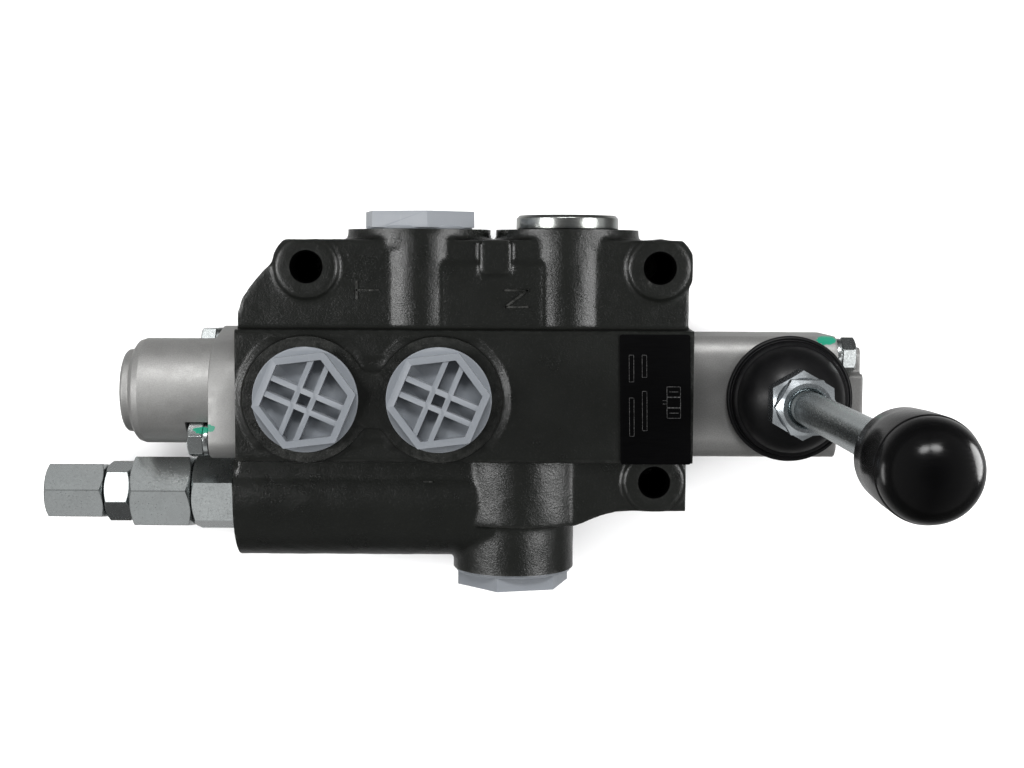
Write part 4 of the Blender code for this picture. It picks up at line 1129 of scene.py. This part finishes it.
# -------------------------------------------------------------------- springs
def coil(name, node, radius, wire, start, end, turns, axis, at):
    """Coil spring between the valve at its start and the seat at its end."""
    steps, sides = 36, 10    # rings per turn, points round the wire
    n = int(turns * steps)
    half = wire / 2
    lo, hi = start + half, end - half
    points = []
    for i in range(n + 1):
        t = i / n
        # coils lie closer together towards both ends
        a = lo + (hi - lo) * (t - 0.055 * math.sin(2 * math.pi * t))
        turn = 2 * math.pi * turns * t
        for j in range(sides):
            b = 2 * math.pi * (j + 0.5) / sides
            r = radius + half * math.cos(b)
            points.append((r * math.cos(turn), r * math.sin(turn), a + half * math.sin(b)))
    ob = solid(place(points, axis, at), walls(sides, n + 1) + lids(sides, n + 1))
    finish(name, ob, node, [SPRING], 50, body=None)
    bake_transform(ob)


coil("centering_coil", "centering_spring", radius=8.9, wire=1.7, start=-88.9, end=-74.4,
     turns=3.1, axis='X', at=(0, 0, 0))
coil("relief_coil", "relief_spring", radius=4.4, wire=1.7, start=-84.2, end=-60.2,
     turns=5.0, axis='X', at=RELIEF)
coil("load_check_coil", "load_check_spring", radius=3.5, wire=0.75, start=-24.1, end=-17.0,
     turns=3.0, axis='Z', at=CHECK)


# ---------------------------------------------------------------- data plate
def on_plate(u, v):
    """Plate coordinates to x, y; the plate leans a little."""
    lean = math.radians(1.6)
    return (57.5 + u * math.cos(lean) - v * math.sin(lean) * 0.6, 0.6 + v)


def bar(u0, u1, v0, v1):
    corners = ((u0, v0), (u1, v0), (u1, v1), (u0, v1))
    return prism([on_plate(u, v) for u, v in corners], 33.5, 33.645)


def frame_lines(u0, u1, v0, v1, w):
    return [bar(u0, u1, v0, v0 + w), bar(u0, u1, v1 - w, v1), bar(u0, u0 + w, v0, v1),
            bar(u1 - w, u1, v0, v1)]


def data_plate():
    outline = rounded_rect(-10.6, 10.6, -19.6, 19.6, 0.8, 5)
    plate = bevel(prism([on_plate(u, v) for u, v in outline], 33.05, 33.62), 0.08, 40)
    # generic three-box valve symbol and four empty entry fields
    lines = []
    w = 0.14
    for k in range(3):
        lines += frame_lines(3.4, 7.6, -5.6 + 3.2 * k, -2.4 + 3.2 * k, w)
    lines += [bar(4.1, 6.9, v, v + w) for v in (-4.06, 2.34)]
    lines += [bar(2.2, 3.4, v, v + w) for v in (-1.3, -0.3)]
    for u, v0, v1 in ((-7.9, 5.3, 13.5), (-7.9, -11.1, 0.6), (-4.0, 6.7, 13.5),
                      (-4.0, -9.4, 2.6)):
        lines += frame_lines(u, u + 1.5, v0, v1, 0.12)
    count = len(plate.data.polygons)
    label = join([plate] + lines)
    for i, p in enumerate(label.data.polygons):
        p.material_index = int(i >= count)
    finish("data_plate", label, "label_plate", [PLATE, PRINT], 32)


data_plate()


# ------------------------------------------------------------- floor and light
def build_floor():
    ob = bpy.data.objects.new("floor", bpy.data.meshes.new("floor"))
    COLL.objects.link(ob)
    bm = bmesh.new()
    bmesh.ops.create_grid(bm, x_segments=2, y_segments=2, size=3.0)
    bm.to_mesh(ob.data)
    bm.free()
    ob.location = (0, 0, -0.0002)
    ob.data.materials.append(floor_paper("floor_paper"))
    ob.visible_glossy = False
    return ob


def soft_light(name, where, aim, size, power, group, receivers):
    """Elliptical lamp that reaches its receivers only; aim None means the first of them."""
    data = bpy.data.lights.new(name, 'AREA')
    data.shape = 'ELLIPSE'
    data.size, data.size_y = size
    data.energy = power
    ob = bpy.data.objects.new(name, data)
    COLL.objects.link(ob)
    ob.visible_camera = False
    ob.location = where
    if aim is None:
        target = receivers[0]
        aim = sum((target.matrix_world @ Vector(c) for c in target.bound_box), Vector()) / 8
    ob.rotation_euler = (Vector(aim) - Vector(where)).to_track_quat('-Z', 'Y').to_euler()
    linked = bpy.data.collections.new(group)
    for receiver in receivers:
        linked.objects.link(receiver)
    ob.light_linking.receiver_collection = linked


def named(*names):
    return [bpy.data.objects[n] for n in names]


def build_lights(floor):
    knob, skin = named("lever_grip", "body_casting")
    meshes = [o for o in SCENE.objects if o.type == 'MESH']
    no_skin = [o for o in meshes if o is not skin and not o.name.startswith("relief_")]
    no_knob = [o for o in no_skin if o is not knob]
    # plated parts that mirror the pale cards
    plated = named("relief_cartridge_hex", "relief_bonnet_hex", "relief_lock_nut",
                   "relief_end_nut", "cap_hex_screw_1", "cap_hex_screw_2", "cap_washer_1",
                   "cap_washer_2", "housing_hex_screw_1", "housing_hex_screw_2",
                   "lever_stud_hex", "lever_lock_nut")
    body, grip = (0, 0, 0.03), (0.11, 0.0, 0.22)
    left, right = (-0.98, 0.05, 0.92), (1.02, 0.05, 0.90)
    # name, place, aim, size (m), power (W), receiver group, receivers
    for row in (
            ("top_left", (-0.24, 0.85, 0.95), body, (0.40, 0.28), 5.5,
             "top_receivers_0", no_skin),
            ("top_right", (0.18, 0.85, 0.95), body, (0.40, 0.28), 5.5,
             "top_receivers_1", no_skin),
            ("side_left", left, body, (0.50, 0.70), 7.5, "side_receivers_0", no_knob),
            ("side_right", right, body, (0.50, 0.70), 7.5, "side_receivers_1", no_knob),
            ("flank_left", left, body, (0.42, 0.60), 14, "flank_receivers_0", [skin]),
            ("flank_right", right, body, (0.42, 0.60), 14, "flank_receivers_1", [skin]),
            ("low_right", (0.55, 0.06, 0.10), grip, (0.34, 0.22), 2.0,
             "low_receivers", [knob]),
            ("low_left", (-0.20, -0.05, 0.05), grip, (0.16, 0.06), 0.14,
             "low_receivers_left", [knob]),
            ("card_low", (-0.10, -1.05, 0.60), body, (1.2, 0.8), 0.86,
             "card_receivers_0", plated),
            ("card_high", (-0.10, 1.05, 0.62), body, (1.2, 0.8), 0.98,
             "card_receivers_1", plated),
            ("glint", (-0.40, 0.44, 1.09), (-0.11, -0.03, 0.03), (0.5, 0.4), 1.5,
             "glint_receivers", named("relief_lock_nut")),
            ("glint_low", (-0.37, -0.58, 1.05), (-0.08, -0.03, 0.03), (0.5, 0.4), 0.32,
             "glint_receivers_low", named("relief_cartridge_hex")),
            ("edge_glint", (-0.40, 0.18, 1.15), None, (0.34, 0.20), 0.8,
             "edge_glint_receivers", named("relief_end_nut", "relief_bonnet_hex")),
            ("edge_glint_inner", (-0.36, 0.57, 1.03), None, (0.34, 0.20), 0.8,
             "edge_glint_inner_receivers", named("relief_cartridge_hex")),
            ("screw_glint", (0.37, -0.45, 1.12), None, (0.35, 0.30), 0.5,
             "screw_glint_receivers", named("housing_hex_screw_1", "housing_washer_1")),
            ("floor_wash", (0.0, 0.05, 1.6), (0, 0.05, 0), (2.4, 2.0), 34,
             "floor_receivers", [floor])):
        soft_light(*row)


def build_world():
    """Grey studio, banded by height and brighter towards both X sides."""
    world = bpy.data.worlds.new("studio")
    SCENE.world = world
    world.use_nodes = True
    k = Graph(world.node_tree, "Generated")
    axes = k.axes()
    height = k.math('MULTIPLY_ADD', axes["Z"], 0.5, 0.5)
    ramp = k.node("ShaderNodeValToRGB", {0: height})
    strength, side_share = 1.35, 0.65
    level = k.math('MULTIPLY_ADD', k.math('ABSOLUTE', axes["X"]),
                   side_share * strength, 0.35 * strength)
    elements = ramp.color_ramp.elements
    elements[0].position, elements[0].color = 0.0, (0.95, 0.95, 0.95, 1)
    elements[1].position, elements[1].color = 1.0, (0.153, 0.153, 0.156, 1)
    # height from straight down (0) to straight up (1), and grey
    for at, grey in ((0.10, 0.60), (0.25, 0.10), (0.49, 0.10), (0.51, 0.333), (0.68, 0.333),
                     (0.90, 0.30)):
        elements.new(at).color = (grey, grey, grey, 1)
    background = k.tree.nodes["Background"]
    k.put(background, "Color", ramp.outputs["Color"])
    k.put(background, "Strength", level)


def build_camera():
    """Looks almost straight down, tilted a little about X and rolled a little."""
    tilt, roll = math.radians(4.62), math.radians(0.253)
    forward = Vector((0, -math.sin(tilt), -math.cos(tilt)))
    right = Vector((1, 0, 0))
    up = right.cross(forward)
    rolled_right = right * math.cos(roll) + up * math.sin(roll)
    rolled_up = up * math.cos(roll) - right * math.sin(roll)
    data = bpy.data.cameras.new("camera")
    data.lens = 55.125
    data.sensor_width = 36.0
    data.clip_start = 0.01
    data.clip_end = 20.0
    camera = bpy.data.objects.new("camera", data)
    COLL.objects.link(camera)
    matrix = Matrix((rolled_right, rolled_up, -forward)).transposed().to_4x4()
    matrix.translation = Vector((0.01438, 0.0431, 0.5358))
    camera.matrix_world = matrix
    SCENE.camera = camera


build_lights(build_floor())
build_world()
view = SCENE.view_settings
view.view_transform = 'Standard'
view.look = 'None'
view.exposure = 0.0
view.gamma = 1.0
build_camera()
